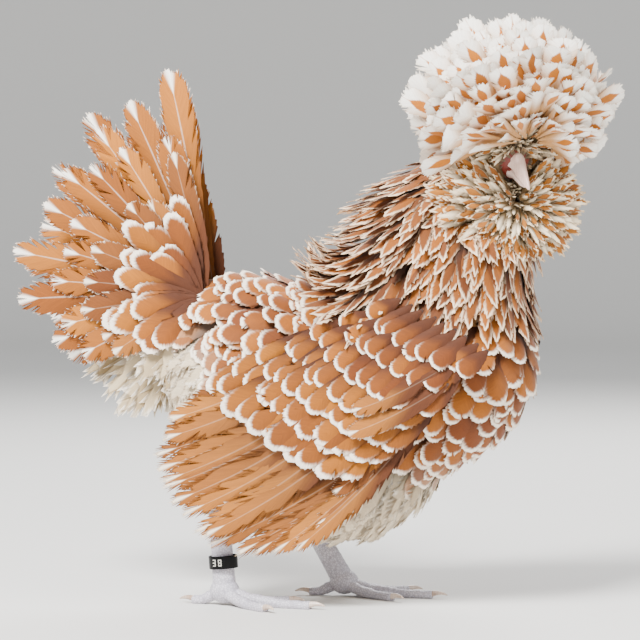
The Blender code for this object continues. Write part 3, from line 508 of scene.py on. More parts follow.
@dataclass(frozen=True)
class VaneForm:
    """The outline of a feather that is one long and one wide on each side of its quill.

    Barbs run from the quill out to the outline. Reach, half and root stand at even shares of the outline
    from base to tip.
    """

    barbs: int  # on each side
    reach: tuple[float, ...]  # how far along the outline is
    half: tuple[float, ...]  # how wide it is
    root: tuple[float, ...]  # how far along the barb's root is
    notch: float = 0.1  # how deep the gaps between barbs are, as a share of a barb
    fray: float = 0.0  # the share of the gaps that run deep
    thick: float = 0.45 * MM  # the quill's height
    cup: float = 0.16  # how far the rims droop, in half widths
    loose: float = 0.35 * MM  # how far a barb's tip strays up or down
    middle: float = 0.52  # the share of the way out where a barb's thick part ends

    def curves(self, shares: Array) -> tuple[Array, Array, Array]:
        """The three rows at given shares, by straight lines between the numbers."""
        knots = np.linspace(0, 1, len(self.reach))
        return tuple(np.interp(shares, knots, row) for row in (self.reach, self.half, self.root))

    def faces(self) -> list[tuple[int, ...]]:
        """The faces of one vane, top and bottom, with its base closed.

        The vertices are the quill's upper and lower rows, the barbs' middles above and below, the
        notches between the barbs and the barbs' tips, as shape gives them.

        Returns:
            Vertex numbers, facing outward.
        """
        m = self.barbs
        upper, lower = 0, m + 1
        high = 2 * (m + 1)
        low = high + 2 * m + 1
        notch = low + 2 * m + 1
        tip = notch + 2 * m + 1
        made: list[tuple[int, ...]] = []
        for k in range(2 * m):
            a, b = min(k, 2 * m - k), min(k + 1, 2 * m - k - 1)
            top = (upper + a, high + k, high + k + 1, upper + b)
            edge = (high + k, notch + k, tip + k, notch + k + 1, high + k + 1)
            under = (lower + a, low + k, low + k + 1, lower + b)
            rim = (low + k, notch + k, tip + k, notch + k + 1, low + k + 1)
            made += [top[::-1], edge[::-1], under, rim]
        made.append((upper, lower, low, notch, high))
        last = 2 * m
        made.append((upper, high + last, notch + last, low + last, lower))
        return made

    def rims(self) -> Array:
        """Marks the outline, where the two faces of a vane meet.

        Returns:
            True for each vertex on it.
        """
        m = self.barbs
        inner = 2 * (m + 1) + 2 * (2 * m + 1)
        return np.arange(inner + 2 * m + 1 + 2 * m) >= inner

    def shape(self, count: int, draw: np.random.Generator) -> tuple[Array, Array, Array, Array, Array]:
        """The vertices of many vanes in their flat frames.

        Inner points lie at a share v of the way out along their barb. The notch between two barbs ends
        at v = 1 - its depth, and where a vane is frayed some notches run deep.

        Args:
            count: the number of vanes.
            draw: the random source.

        Returns:
            Along and aside in shares of length and half width, height in metres, all (count, n), and
            the outline share and v of each vertex for the map.
        """
        m = self.barbs
        sides = np.arange(2 * m + 1)
        share = 1 - np.abs(1 - sides / m)
        sign = np.sign(m - sides)
        reach, half, root = self.curves(share)
        depth = self.notch * draw.uniform(0.4, 1.5, (count, 2 * m + 1))
        split = draw.random((count, 2 * m + 1)) < self.fray
        depth = np.where(split, draw.uniform(0.35, 0.8, depth.shape), depth)
        out = 1 - depth
        stray = draw.uniform(-0.35, 0.35, (count, 2 * m))
        tip_share = 1 - np.abs(1 - (sides[:-1] + 0.5 + stray) / m)
        tip_sign = np.sign(m - sides[:-1] - 0.5)
        tip_reach, tip_half, tip_root = self.curves(tip_share)
        tip_out = draw.uniform(0.9, 1.08, (count, 2 * m))
        flick = draw.normal(0, self.loose, (count, 2 * m))

        def point(v: Array, r: Array, h: Array, a: Array, s: Array) -> tuple[Array, Array]:
            """Along and aside at a share v of a barb with reach r, half width h, root a and side s."""
            return a + (r - a) * v, h * v * s

        quill_share = np.arange(m + 1) / m
        quill_root = np.broadcast_to(self.curves(quill_share)[2], (count, m + 1))
        inner = self.middle * out
        ix, iy = point(inner, reach, half, root, sign)
        nx, ny = point(out, reach, half, root, sign)
        tx, ty = point(tip_out, tip_reach, tip_half, tip_root, tip_sign)
        flat = np.zeros_like(quill_root)
        along = np.concatenate([quill_root, quill_root, ix, ix, nx, tx], 1)
        aside = np.concatenate([flat, flat, iy, iy, ny, ty], 1)
        ridge = self.thick * (0.75 - 0.5 * quill_share)
        body = np.broadcast_to(self.thick * 0.36 * (1 - 0.4 * share), ix.shape)
        height = [flat + ridge, flat - ridge * 0.8, body, -body, 0 * nx, flick]
        s_map = [quill_share, quill_share, share, share, share, 1 - np.abs(1 - (sides[:-1] + 0.5) / m)]
        s_map = np.concatenate([np.broadcast_to(s, (count, len(s))) for s in s_map], 1)
        v_map = np.concatenate([flat, flat, inner, inner, out, np.ones_like(tx)], 1)
        return along, aside, np.concatenate(height, 1), s_map, v_map


def spline(samples: Array, shares: Array) -> Array:
    """Points on smooth curves through samples that stand at even shares, a Catmull-Rom spline.

    Args:
        samples: (n, k, 3) values at shares 0 to 1.
        shares: (n, t) shares, which may run a little past the ends.

    Returns:
        (n, t, 3) values.
    """
    first = 2 * samples[:, :1] - samples[:, 1:2]
    last = 2 * samples[:, -1:] - samples[:, -2:-1]
    knots = np.concatenate([first, samples, last], 1)
    spans = samples.shape[1] - 1
    where = shares * spans
    cell = np.clip(np.floor(where), 0, spans - 1).astype(int)
    t = (where - cell)[..., None]
    rows = np.arange(len(samples))[:, None]
    a, b, c, d = (knots[rows, cell + i] for i in range(4))
    return 0.5 * (2 * b + (c - a) * t + (2 * a - 5 * b + 4 * c - d) * t**2 + (3 * b - a - 3 * c + d) * t**3)


@dataclass
class Lay:
    """Where a set of n feathers lies."""

    paths: Array  # points along each quill, (n, k, 3)
    across: Array  # the way to its side at each point
    normals: Array  # the way its face looks at each point
    halves: Array  # half widths, (n,)
    tints: Array  # tones from dark at 0 to light at 1
    pales: Array  # how faded each is, from 0 to 1
    tilts: Array  # how far each leans about its quill

    def take(self, index: Array) -> "Lay":
        """The chosen feathers."""
        return Lay(*(getattr(self, row.name)[index] for row in fields(self)))

    def from_head(self) -> "Lay":
        """Turns feathers of the head's frame into the bird's.

        Returns:
            The turned feathers.
        """
        turn = HEAD_MATRIX[:3, :3].T
        return replace(
            self, paths=from_head(self.paths), across=self.across @ turn, normals=self.normals @ turn
        )

    def mirrored(self) -> "Lay":
        """Mirrors feathers about the bird's middle plane.

        Returns:
            The same feathers on its other side.
        """
        flip = np.array([1.0, -1.0, 1.0])
        turned = replace(
            self, paths=self.paths * flip, across=-self.across * flip, normals=self.normals * flip
        )
        return replace(turned, tilts=-self.tilts)

    @staticmethod
    def together(lays: Sequence["Lay"]) -> "Lay":
        """Several sets as one."""
        return Lay(*(np.concatenate([getattr(lay, row.name) for lay in lays]) for row in fields(Lay)))


def frames(paths: Array, normals: Array) -> tuple[Array, Array]:
    """The direction across each path and the face's normal, square to it.

    Args:
        paths: (n, k, 3).
        normals: rough normals of the same shape.

    Returns:
        Across and normal, unit vectors.
    """
    tangents = unit(np.gradient(paths, axis=1))
    across = unit(np.cross(normals, tangents))
    return across, np.cross(tangents, across)


def lay_on(level: Field, roots: Array, ways: Array, lengths: Array, levels: Array) -> tuple[Array, Array]:
    """Paths that run over a field's levels as nearly along given ways as its slope allows.

    Each step goes along the way's part in the surface, then settles on the next level.

    Args:
        level: the field.
        roots: (n, 3) starts.
        ways: (n, 3) directions.
        lengths: (n,) lengths.
        levels: levels from root to tip, (KNOTS,) or (n, KNOTS).

    Returns:
        The paths and the field's normals on them, (n, KNOTS, 3).
    """
    levels = np.broadcast_to(levels, (len(roots), KNOTS))
    place = level.settle(roots, levels[:, 0])
    paths = [place]
    for k in range(1, KNOTS):
        normal = level.slope(place)
        along = unit(ways - normal * (normal * ways).sum(-1, keepdims=True))
        place = level.settle(place + along * (lengths / (KNOTS - 1))[:, None], levels[:, k])
        paths.append(place)
    paths = np.stack(paths, 1)
    return paths, level.slope(paths)


@dataclass
class MeshMaker:
    """Puts arrays into Blender as finished pieces that ride on the bird."""

    stance: Stance

    def piece(
        self,
        name: str,
        vertices: Array,
        faces: Sequence[Sequence[int]],
        finish: bpy.types.Material,
        slot: str,
        replaces: Sequence[str] = (),
    ) -> bpy.types.Object:
        """One smooth-shaded piece from vertices of the bird's frame.

        Args:
            name: the piece's name.
            vertices: (n, 3).
            faces: vertex numbers, facing outward.
            finish: its material.
            slot: passed on, not used.
            replaces: the solids that it stands for.

        Returns:
            The object.
        """
        mesh = bpy.data.meshes.new(name)
        mesh.from_pydata(self.stance.place(vertices).tolist(), [], [tuple(int(i) for i in f) for f in faces])
        mesh.update()
        return self.dress(name, mesh, finish, slot, replaces)

    def dress(
        self,
        name: str,
        mesh: bpy.types.Mesh,
        finish: bpy.types.Material,
        slot: str,
        replaces: Sequence[str] = (),
    ) -> bpy.types.Object:
        """Makes a mesh a piece: links it, finishes it and sets it on the bird's body.

        Args:
            name: the piece's name.
            mesh: in the solids' frame.
            finish: its material.
            slot: not used.
            replaces: the solids that it stands for.

        Returns:
            The object.
        """
        shape = bpy.data.objects.new(name, mesh)
        bpy.context.collection.objects.link(shape)
        mesh.materials.append(finish)
        mesh.shade_smooth()
        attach(shape, BODY)
        if replaces:
            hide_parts(*replaces)
        LOG.info("%s: %d faces", name, len(mesh.polygons))
        return shape

    def coat(
        self,
        name: str,
        form: VaneForm,
        lay: Lay,
        finish: bpy.types.Material,
        slot: str,
        seed: int,
        replaces: Sequence[str] = (),
    ) -> bpy.types.Object:
        """One piece of many vanes of one form.

        A vertex at (x, y, z) of the flat vane goes to path(x) + across(x) w y + normal(x) (z - cup w y^2
        + tilt w y), with w the half width. Its patch for baking stands in a grid, at the rank of its
        root's turn about the bird and of its root's height, so that no two patches meet.

        Args:
            name: the piece's name.
            form: the outline.
            lay: where the feathers lie.
            finish: the material.
            slot: passed on, not used.
            seed: of the notches.
            replaces: the solids that it stands for.

        Returns:
            The object.
        """
        draw = np.random.default_rng(seed)
        count = len(lay.paths)
        along, aside, height, s_map, v_map = form.shape(count, draw)
        w = lay.halves[:, None]
        rise = height - form.cup * w * aside**2 + lay.tilts[:, None] * w * aside
        path = spline(lay.paths, along)
        side = unit(spline(lay.across, along))
        normal = unit(spline(lay.normals, along))
        vertices = path + side * (w * aside)[..., None] + normal * rise[..., None]
        size = vertices.shape[1]
        faces = form.faces()
        loops = np.array([i for face in faces for i in face])
        lengths = np.array([len(face) for face in faces])
        loops = (loops[None] + size * np.arange(count)[:, None]).ravel()
        lengths = np.tile(lengths, count)
        mesh = bpy.data.meshes.new(name)
        mesh.vertices.add(count * size)
        mesh.vertices.foreach_set("co", self.stance.place(vertices).astype(np.float32).ravel())
        mesh.loops.add(len(loops))
        mesh.loops.foreach_set("vertex_index", loops.astype(np.int32))
        mesh.polygons.add(len(lengths))
        starts = np.concatenate([[0], np.cumsum(lengths)[:-1]])
        mesh.polygons.foreach_set("loop_start", starts.astype(np.int32))
        mesh.update(calc_edges=True)
        vane = np.stack([s_map, v_map], -1).reshape(-1, 2)[loops]
        mesh.uv_layers.new(name="Vane").uv.foreach_set("vector", vane.astype(np.float32).ravel())
        place = np.stack([along, np.abs(aside)], -1).reshape(-1, 2)[loops]
        mesh.uv_layers.new(name="Place").uv.foreach_set("vector", place.astype(np.float32).ravel())
        patch = self.patches(lay.paths[:, 0], along, aside)[loops]
        mesh.uv_layers.new(name="OFBake").uv.foreach_set("vector", patch.astype(np.float32).ravel())
        for label, values in (("tint", lay.tints), ("pale", lay.pales)):
            layer = mesh.attributes.new(label, "FLOAT", "POINT")
            layer.data.foreach_set("value", np.repeat(values, size).astype(np.float32))
        rim = np.tile(form.rims(), count)
        ends = np.empty(len(mesh.edges) * 2, np.int32)
        mesh.edges.foreach_get("vertices", ends)
        ends = ends.reshape(-1, 2)
        shape = self.dress(name, mesh, finish, slot, replaces)
        sharp = mesh.attributes.get("sharp_edge") or mesh.attributes.new("sharp_edge", "BOOLEAN", "EDGE")
        sharp.data.foreach_set("value", rim[ends].all(1))
        return shape

    @staticmethod
    def patches(roots: Array, along: Array, aside: Array) -> Array:
        """Each vane's own patch of the unit square, by the rank of its root's turn and height.

        Args:
            roots: (n, 3) the vanes' roots.
            along: (n, t) shares of length.
            aside: (n, t) shares of half width.

        Returns:
            Map points, (n * t, 2).
        """
        count = len(roots)
        cells = math.ceil(math.sqrt(count))
        middle = roots.mean(0)
        turn = np.arctan2(roots[:, 1] - middle[1], roots[:, 0] - middle[0])
        column = np.argsort(np.argsort(turn)) // cells
        order = np.lexsort((roots[:, 2], column))
        row = np.empty(count, int)
        row[order] = np.arange(count) % cells
        x = (column[:, None] + 0.5 + 0.44 * aside) / cells
        y = (row[:, None] + 0.04 + 0.86 * along) / cells
        return np.stack([x, y], -1).reshape(-1, 2)


# Outlines of vanes: two common rows, then one form for each kind of feather.
ROUND_REACH = (0, 0.22, 0.44, 0.64, 0.8, 0.91, 0.98, 1)
ROUND_ROOT = (0, 0.1, 0.27, 0.46, 0.62, 0.76, 0.86, 0.9)
LANCE_REACH = (0, 0.22, 0.45, 0.68, 0.87, 1)
CONTOUR = VaneForm(13, ROUND_REACH, (0.12, 0.55, 0.85, 0.98, 1, 0.84, 0.5, 0), ROUND_ROOT, 0.1, 0.03)
HACKLE = VaneForm(9, LANCE_REACH, (0.3, 0.8, 1, 0.92, 0.6, 0), (0, 0.1, 0.3, 0.52, 0.74, 0.88), 0.2, 0.06)
LANCE = VaneForm(8, LANCE_REACH, (0.3, 0.74, 0.96, 0.9, 0.56, 0), (0, 0.1, 0.3, 0.5, 0.7, 0.84), 0.3, 0.12)
BRUSH_ROOT = (0, 0.08, 0.22, 0.4, 0.56, 0.69, 0.78, 0.82)
CREST = VaneForm(17, ROUND_REACH, (0.12, 0.3, 0.52, 0.76, 0.97, 1, 0.66, 0), BRUSH_ROOT, 0.14, 0.07)
PLUME = VaneForm(11, LANCE_REACH, (0.2, 0.8, 1, 1, 0.7, 0), (0, 0.08, 0.28, 0.5, 0.7, 0.84), 0.4, 0.4)
QUILL = VaneForm(26, ROUND_REACH, (0.2, 0.8, 1, 1, 1, 0.82, 0.46, 0), ROUND_ROOT, 0.1, 0.1, cup=0.1)
FRAYED = VaneForm(26, ROUND_REACH, (0.2, 0.7, 0.92, 1, 0.92, 0.7, 0.4, 0), ROUND_ROOT, 0.26, 0.38, cup=0.12)
PADDLE = VaneForm(
    30, ROUND_REACH, (0.14, 0.32, 0.52, 0.78, 1, 0.92, 0.56, 0), ROUND_ROOT, 0.14, 0.22, cup=0.1
)


# The dark base colour of the laced body feathers is partly painted shade between overlapping feathers.
LACED = Plumage(
    "laced_body_feather",
    dark="6C3202",
    light="9E5806",
    rim="FFF0DC",
    base="5E2C08",
    rim_from=0.68,
    rim_soft=0.4,
    tip_more=0.5,
    side_from=0.42,
    wobble=0.4,
)
DOWN = Plumage(
    "down_plume",
    dark="8E7650",
    light="D0BC98",
    rim="FFF8EC",
    base="75603C",
    rim_from=0.5,
    rim_soft=0.5,
    wobble=0.8,
    side_from=0.0,
    barbs=22,
    base_to=0.1,
)
# Its deep base colour and low depth are painted shade between the feathers, and its dark pigments are partly
# painted shade from the crest above.
HACKLED = Plumage(
    "hackle_feather",
    dark="5A2A02",
    light="965205",
    rim="F0D4B2",
    base="4A2406",
    rim_from=0.6,
    rim_soft=0.42,
    tip_more=0.3,
    wobble=0.5,
    side_from=0.3,
    depth=0.4,
)
# Its warm beige base is partly painted shade near the face and partly painted glow of light through the thin
# barbs.
CRESTED = Plumage(
    "crest_feather",
    dark="A05804",
    light="C07008",
    rim="FFFAF0",
    base="D0985C",
    rim_from=0.3,
    rim_soft=0.14,
    base_to=0.3,
    base_soft=0.58,
    mark=True,
    depth=0.7,
    wobble=0.16,
)
# Its dark olive base is partly painted shade between the beard's strands.
BEARDED = Plumage(
    "beard_feather",
    dark="80460A",
    light="AC6A1C",
    rim="F8E4C2",
    base="644A20",
    rim_from=0.5,
    rim_soft=0.24,
    base_to=0.35,
    base_soft=0.6,
    mark=True,
    depth=0.5,
    wobble=0.2,
)
BRISTLED = Plumage(
    "face_bristle", dark="8A5A20", light="BC8C48", rim="F2DEBA", base="63441E", rim_from=0.4, barbs=14
)
# The dark base colour of the wing coverts is partly painted shade between overlapping feathers.
WINGED = Plumage(
    "wing_covert",
    dark="7C4002",
    light="A25E06",
    rim="FFF1E0",
    base="5E2C08",
    rim_from=0.72,
    rim_soft=0.34,
    tip_more=0.5,
    side_from=0.46,
    depth=0.45,
)
FLIGHT = Plumage(
    "flight_feather",
    dark="6A3408",
    light="AC6A22",
    rim="FBEAD2",
    base="6E360C",
    rim_from=0.86,
    rim_soft=0.2,
    tip_from=0.88,
    shaft=0.12,
    wobble=0.5,
    depth=0.5,
    barbs=60,
)
TAILED = Plumage(
    "tail_feather",
    dark="824406",
    light="B06A1A",
    rim="FFF8EC",
    base="945410",
    rim_from=0.88,
    tip_from=0.88,
    shaft=0.25,
    wobble=0.4,
    barbs=60,
)


def grid_faces(rows: int, columns: int, round_rows: bool = False) -> Array:
    """Quads of a grid of rows by columns, where each row is a closed ring.

    Args:
        rows: the number of rows.
        columns: points in each.
        round_rows: whether the last row joins the first.

    Returns:
        Vertex numbers, (n, 4).
    """
    i = np.arange(rows if round_rows else rows - 1)[:, None]
    j = np.arange(columns)[None, :]
    a, b = i * columns, (i + 1) % rows * columns
    k = (j + 1) % columns
    return np.stack([a + j, a + k, b + k, b + j], -1).reshape(-1, 4)


def tube(path: Array, radii: Array, sides: int, up: Array) -> tuple[Array, list]:
    """A closed tube along a path, with radii (n, sides) or (n, 1) in metres.

    A point at turn a is path + r (across cos a + rise sin a), with rise near to the given up. Each end
    is closed by a fan round its middle.

    Args:
        path: (n, 3).
        radii: the reach at each point and side.
        sides: points round.
        up: rough direction of the turn of a quarter.

    Returns:
        Vertices and faces.
    """
    tangents = unit(np.gradient(path, axis=0))
    across = unit(np.cross(up, tangents))
    rise = np.cross(tangents, across)
    turn = np.linspace(0, math.tau, sides, endpoint=False)
    around = across[:, None] * np.cos(turn)[None, :, None] + rise[:, None] * np.sin(turn)[None, :, None]
    rings = path[:, None] + around * np.broadcast_to(radii, (len(path), sides))[..., None]
    vertices = np.concatenate([rings.reshape(-1, 3), path[:1], path[-1:]])
    count = len(path) * sides
    faces = [tuple(f) for f in grid_faces(len(path), sides)]
    last = count - sides
    faces += [(count, (j + 1) % sides, j) for j in range(sides)]
    faces += [(count + 1, last + j, last + (j + 1) % sides) for j in range(sides)]
    return vertices, faces


def ball(centre: Array, radii: Array, rings: int = 24, sides: int = 32) -> tuple[Array, list]:
    """An ellipsoid with its poles along X: centre + radii (cos p, sin p cos a, sin p sin a).

    Args:
        centre: its middle.
        radii: its three half axes.
        rings: steps from pole to pole.
        sides: points round.

    Returns:
        Vertices and faces.
    """
    polar = np.linspace(0, math.pi, rings + 1)[1:-1, None]
    turn = np.linspace(0, math.tau, sides, endpoint=False)[None]
    poleward = np.cos(polar) + 0 * turn
    rows = np.stack([poleward, np.sin(polar) * np.cos(turn), np.sin(polar) * np.sin(turn)], -1)
    points = np.concatenate([rows.reshape(-1, 3), [[1.0, 0, 0]], [[-1.0, 0, 0]]])
    count = (rings - 1) * sides
    faces = [tuple(f) for f in grid_faces(rings - 1, sides)]
    faces += [(count, (j + 1) % sides, j) for j in range(sides)]
    faces += [(count + 1, count - sides + j, count - sides + (j + 1) % sides) for j in range(sides)]
    return np.asarray(centre) + points * np.asarray(radii), [face[::-1] for face in faces]


def joined(*shapes: tuple[Array, Sequence]) -> tuple[Array, list]:
    """Several surfaces as one.

    Args:
        shapes: vertices and faces of each.

    Returns:
        All vertices and all faces.
    """
    vertices, faces, start = [], [], 0
    for points, cells in shapes:
        vertices.append(points)
        faces += [tuple(int(i) + start for i in cell) for cell in cells]
        start += len(points)
    return np.concatenate(vertices), faces


@dataclass(frozen=True)
class Horn:
    """Keratin horn of the beak and claws, smooth and satin: IOR about 1.54, growth lines 1 mm apart.

    Growth lines lie closer in life and are as coarse here as they need to be to show.
    """

    name: str
    light: str
    dark: str
    roughness: float = 0.3

    def material(self) -> bpy.types.Material:
        """Clouds some 8 mm across between the two colours, with a fine bump along the growth.

        Returns:
            The material.
        """
        made, shader = blank_material(
            self.name, {"Roughness": self.roughness, "IOR": 1.54, "Coat Weight": 0.15}
        )
        tree = made.node_tree
        place = add_node(tree, "TexCoord", out="Object")
        cloud = add_node(tree, "TexNoise", {"Scale": 130.0, "Detail": 5.0}, {"Vector": place})
        lines = add_node(
            tree, "TexWave", {"Scale": 320.0, "Distortion": 3.0, "Detail": 2.0}, {"Vector": place}, out="Fac"
        )
        mixed = add_node(tree, "Math", {"operation": "MULTIPLY_ADD", 1: 0.2}, {0: lines, 2: cloud})
        share = add_node(tree, "MapRange", links={0: mixed, 1: 0.35, 2: 0.85})
        colour = add_node(tree, "Mix", COLOUR_MIX, {0: share, 6: self.dark, 7: self.light}, out=2)
        tree.links.new(colour, shader.inputs["Base Color"])
        bump = add_node(tree, "Bump", {"Strength": 0.25, "Distance": 0.06 * MM}, {"Height": mixed})
        tree.links.new(bump, shader.inputs["Normal"])
        return made


@dataclass(frozen=True)
class BareSkin:
    """Bare skin of the face: fine wrinkles and pores some 0.7 mm apart, dark red and slightly moist.

    The mesh's attribute bare is 1 on the face and falls to 0 under the coat, where pale down covers it.
    """

    name: str = "bare_skin"

    def material(self) -> bpy.types.Material:
        """Red mottling some 4 mm across and pores, with the down's colour where the coat begins.

        Returns:
            The material.
        """
        made, shader = blank_material(self.name, {"Roughness": 0.45})
        tree = made.node_tree
        place = add_node(tree, "TexCoord", out="Object")
        pores = add_node(tree, "TexVoronoi", {"Scale": 1500.0}, {"Vector": place}, out="Distance")
        patches = add_node(tree, "TexNoise", {"Scale": 260.0, "Detail": 4.0}, {"Vector": place})
        red = add_node(tree, "Mix", COLOUR_MIX, {0: patches, 6: "4C120C", 7: "86301F"}, out=2)
        bare = add_node(tree, "Attribute", {"attribute_name": "bare"}, out="Fac")
        colour = add_node(tree, "Mix", COLOUR_MIX, {0: bare, 6: "B07A44", 7: red}, out=2)
        tree.links.new(colour, shader.inputs["Base Color"])
        bump = add_node(tree, "Bump", {"Strength": 0.5, "Distance": 0.25 * MM}, {"Height": pores})
        tree.links.new(bump, shader.inputs["Normal"])
        return made


@dataclass(frozen=True)
class EyeSurface:
    """The eye: black pupil, brown-orange iris with fine rays, dark rim, under a wet glossy cornea, IOR 1.38.

    The mesh's attribute gaze is the angle from the pupil's middle in radians.
    """

    name: str = "eye_surface"

    def material(self) -> bpy.types.Material:
        """Pupil, iris with rays 0.6 mm apart and dark rim, as rings of the gaze attribute.

        Returns:
            The material.
        """
        made, shader = blank_material(
            self.name, {"Roughness": 0.06, "IOR": 1.38, "Coat Weight": 1.0, "Coat Roughness": 0.03}
        )
        tree = made.node_tree
        gaze = add_node(tree, "Attribute", {"attribute_name": "gaze"}, out="Fac")
        place = add_node(tree, "TexCoord", out="Object")
        rays = add_node(tree, "TexNoise", {"Scale": 1800.0, "Detail": 3.0}, {"Vector": place})
        iris = add_node(tree, "Mix", COLOUR_MIX, {0: rays, 6: "8A3A12", 7: "D2742A"}, out=2)
        pupil = add_node(tree, "MapRange", SOFT_STEP, {0: gaze, 1: 0.42, 2: 0.5})
        rim = add_node(tree, "MapRange", SOFT_STEP, {0: gaze, 1: 0.95, 2: 1.1})
        inner = add_node(tree, "Mix", COLOUR_MIX, {0: pupil, 6: "060505", 7: iris}, out=2)
        outer = add_node(tree, "Mix", COLOUR_MIX, {0: rim, 6: inner, 7: "1A0D08"}, out=2)
        tree.links.new(outer, shader.inputs["Base Color"])
        return made


@dataclass(frozen=True)
class Scales:
    """The horny skin of the shanks and toes, satin and pale lavender grey, darker in the grooves between its
    scales.
    """

    name: str = "leg_scales"

    def material(self) -> bpy.types.Material:
        """Small scales 1.6 mm across between the modelled scutes, in clouds some 11 mm across.

        Returns:
            The material.
        """
        made, shader = blank_material(self.name, {"Roughness": 0.42})
        tree = made.node_tree
        place = add_node(tree, "TexCoord", out="Object")
        cells = add_node(
            tree,
            "TexVoronoi",
            {"feature": "DISTANCE_TO_EDGE", "Scale": 620.0},
            {"Vector": place},
            out="Distance",
        )
        cloud = add_node(tree, "TexNoise", {"Scale": 90.0, "Detail": 5.0}, {"Vector": place})
        groove = add_node(tree, "MapRange", links={0: cells, 1: 0.0, 2: 0.18})
        tone = add_node(tree, "Mix", COLOUR_MIX, {0: cloud, 6: "A5A2B2", 7: "E2DCDF"}, out=2)
        # Darker in the grooves between the scales.
        colour = add_node(tree, "Mix", COLOUR_MIX, {0: groove, 6: "A09AA4", 7: tone}, out=2)
        tree.links.new(colour, shader.inputs["Base Color"])
        bump = add_node(tree, "Bump", {"Strength": 0.55, "Distance": 0.2 * MM}, {"Height": groove})
        tree.links.new(bump, shader.inputs["Normal"])
        return made


@dataclass(frozen=True)
class RingPlastic:
    """Moulded polymer of the leg ring: satin, with faint scuffs some 1.4 mm across."""

    name: str
    colour: str
    worn: str

    def material(self) -> bpy.types.Material:
        """The plain colour with scuffed patches.

        Returns:
            The material.
        """
        made, shader = blank_material(self.name, {"Roughness": 0.38, "Specular IOR Level": 0.15})
        tree = made.node_tree
        place = add_node(tree, "TexCoord", out="Object")
        scuff = add_node(tree, "TexNoise", {"Scale": 700.0, "Detail": 6.0}, {"Vector": place})
        share = add_node(tree, "MapRange", links={0: scuff, 1: 0.55, 2: 0.8})
        colour = add_node(tree, "Mix", COLOUR_MIX, {0: share, 6: self.colour, 7: self.worn}, out=2)
        tree.links.new(colour, shader.inputs["Base Color"])
        bump = add_node(tree, "Bump", {"Strength": 0.2, "Distance": 0.05 * MM}, {"Height": scuff})
        tree.links.new(bump, shader.inputs["Normal"])
        return made


class Side(Enum):
    """The sides of the bird."""

    LEFT = 1
    RIGHT = -1


@dataclass
class Skin:
    """The skin of the body: the level of all the flesh's fields together, inside the coat by its depth."""

    maker: MeshMaker
    depth: float = 7 * MM  # under the body's and neck's coat
    thigh_depth: float = 3 * MM
    head_depth: float = 0.1 * MM
    voxel: float = 2.4 * MM

    def level(self, points: Array) -> Array:
        """The least of the flesh's fields, each raised by the coat's depth over it, softly joined.

        Args:
            points: of the bird's frame, (n, 3).

        Returns:
            The level at each, 0 on the skin.
        """
        deep = BODY_FIELD(points) + self.depth
        thigh = np.minimum(THIGHS[0](points), THIGHS[1](points)) + self.thigh_depth
        head = HEAD(to_head(points)) + self.head_depth
        parts = np.stack([deep, thigh, head], -1)
        lowest = parts.min(-1)
        blend = 2 * MM
        return lowest - blend * np.log(np.exp(-(parts - lowest[..., None]) / blend).sum(-1))

    def build(self) -> bpy.types.Object:
        """Joins rough shells by voxels, then settles every vertex on the level by Newton steps.

        Returns:
            The skin.
        """
        shells = [
            (TORSO, np.array([10, 0, 135]) * MM, -self.depth),
            (NECK, np.array([74, 0, 225]) * MM, -self.depth),
            (THIGHS[0], THIGHS[0].centres[0], -self.thigh_depth),
            (THIGHS[1], THIGHS[1].centres[0], -self.thigh_depth),
        ]
        ways = spiral(3000)
        mesh = bpy.data.meshes.new("skin_shells")
        clouds = [shell.reach(centre, ways, level) for shell, centre, level in shells]
        clouds.append(from_head(HEAD.reach(np.array([0, 0, 2]) * MM, ways)))
        edit = bmesh.new()
        for cloud in clouds:
            made = [edit.verts.new(p) for p in cloud]
            hull = bmesh.ops.convex_hull(edit, input=made)
            spare = list(set(hull["geom_interior"] + hull["geom_unused"]))
            bmesh.ops.delete(edit, geom=spare, context="VERTS")
        edit.to_mesh(mesh)
        edit.free()
        shape = bpy.data.objects.new("skin_shells", mesh)
        bpy.context.collection.objects.link(shape)
        join = shape.modifiers.new("join", "REMESH")
        join.mode = "VOXEL"
        join.voxel_size = self.voxel
        bpy.context.view_layer.update()
        whole = bpy.data.meshes.new_from_object(shape.evaluated_get(bpy.context.evaluated_depsgraph_get()))
        bpy.data.objects.remove(shape)
        points = np.empty(len(whole.vertices) * 3, np.float32)
        whole.vertices.foreach_get("co", points)
        points = points.reshape(-1, 3).astype(float)
        step, farthest = 0.2 * MM, 4 * MM
        for _ in range(5):
            value = self.level(points)
            grown = [self.level(points + step * axis) - value for axis in np.eye(3)]
            points = points - unit(np.stack(grown, -1)) * np.clip(value, -farthest, farthest)[:, None]
        whole.vertices.foreach_set("co", self.maker.stance.place(points).astype(np.float32).ravel())
        whole.update()
        face = np.linalg.norm((to_head(points) - np.array([14, 0, -2]) * MM) / np.array([17, 17, 13]), axis=1)
        bare = 1 - smooth(face, 0.8 * MM, 1.15 * MM)
        whole.attributes.new("bare", "FLOAT", "POINT").data.foreach_set("value", bare.astype(np.float32))
        return self.maker.dress(
            "skin",
            whole,
            BareSkin().material(),
            "face_skin",
            ("torso", "neck", "head", "thigh_left", "thigh_right"),
        )


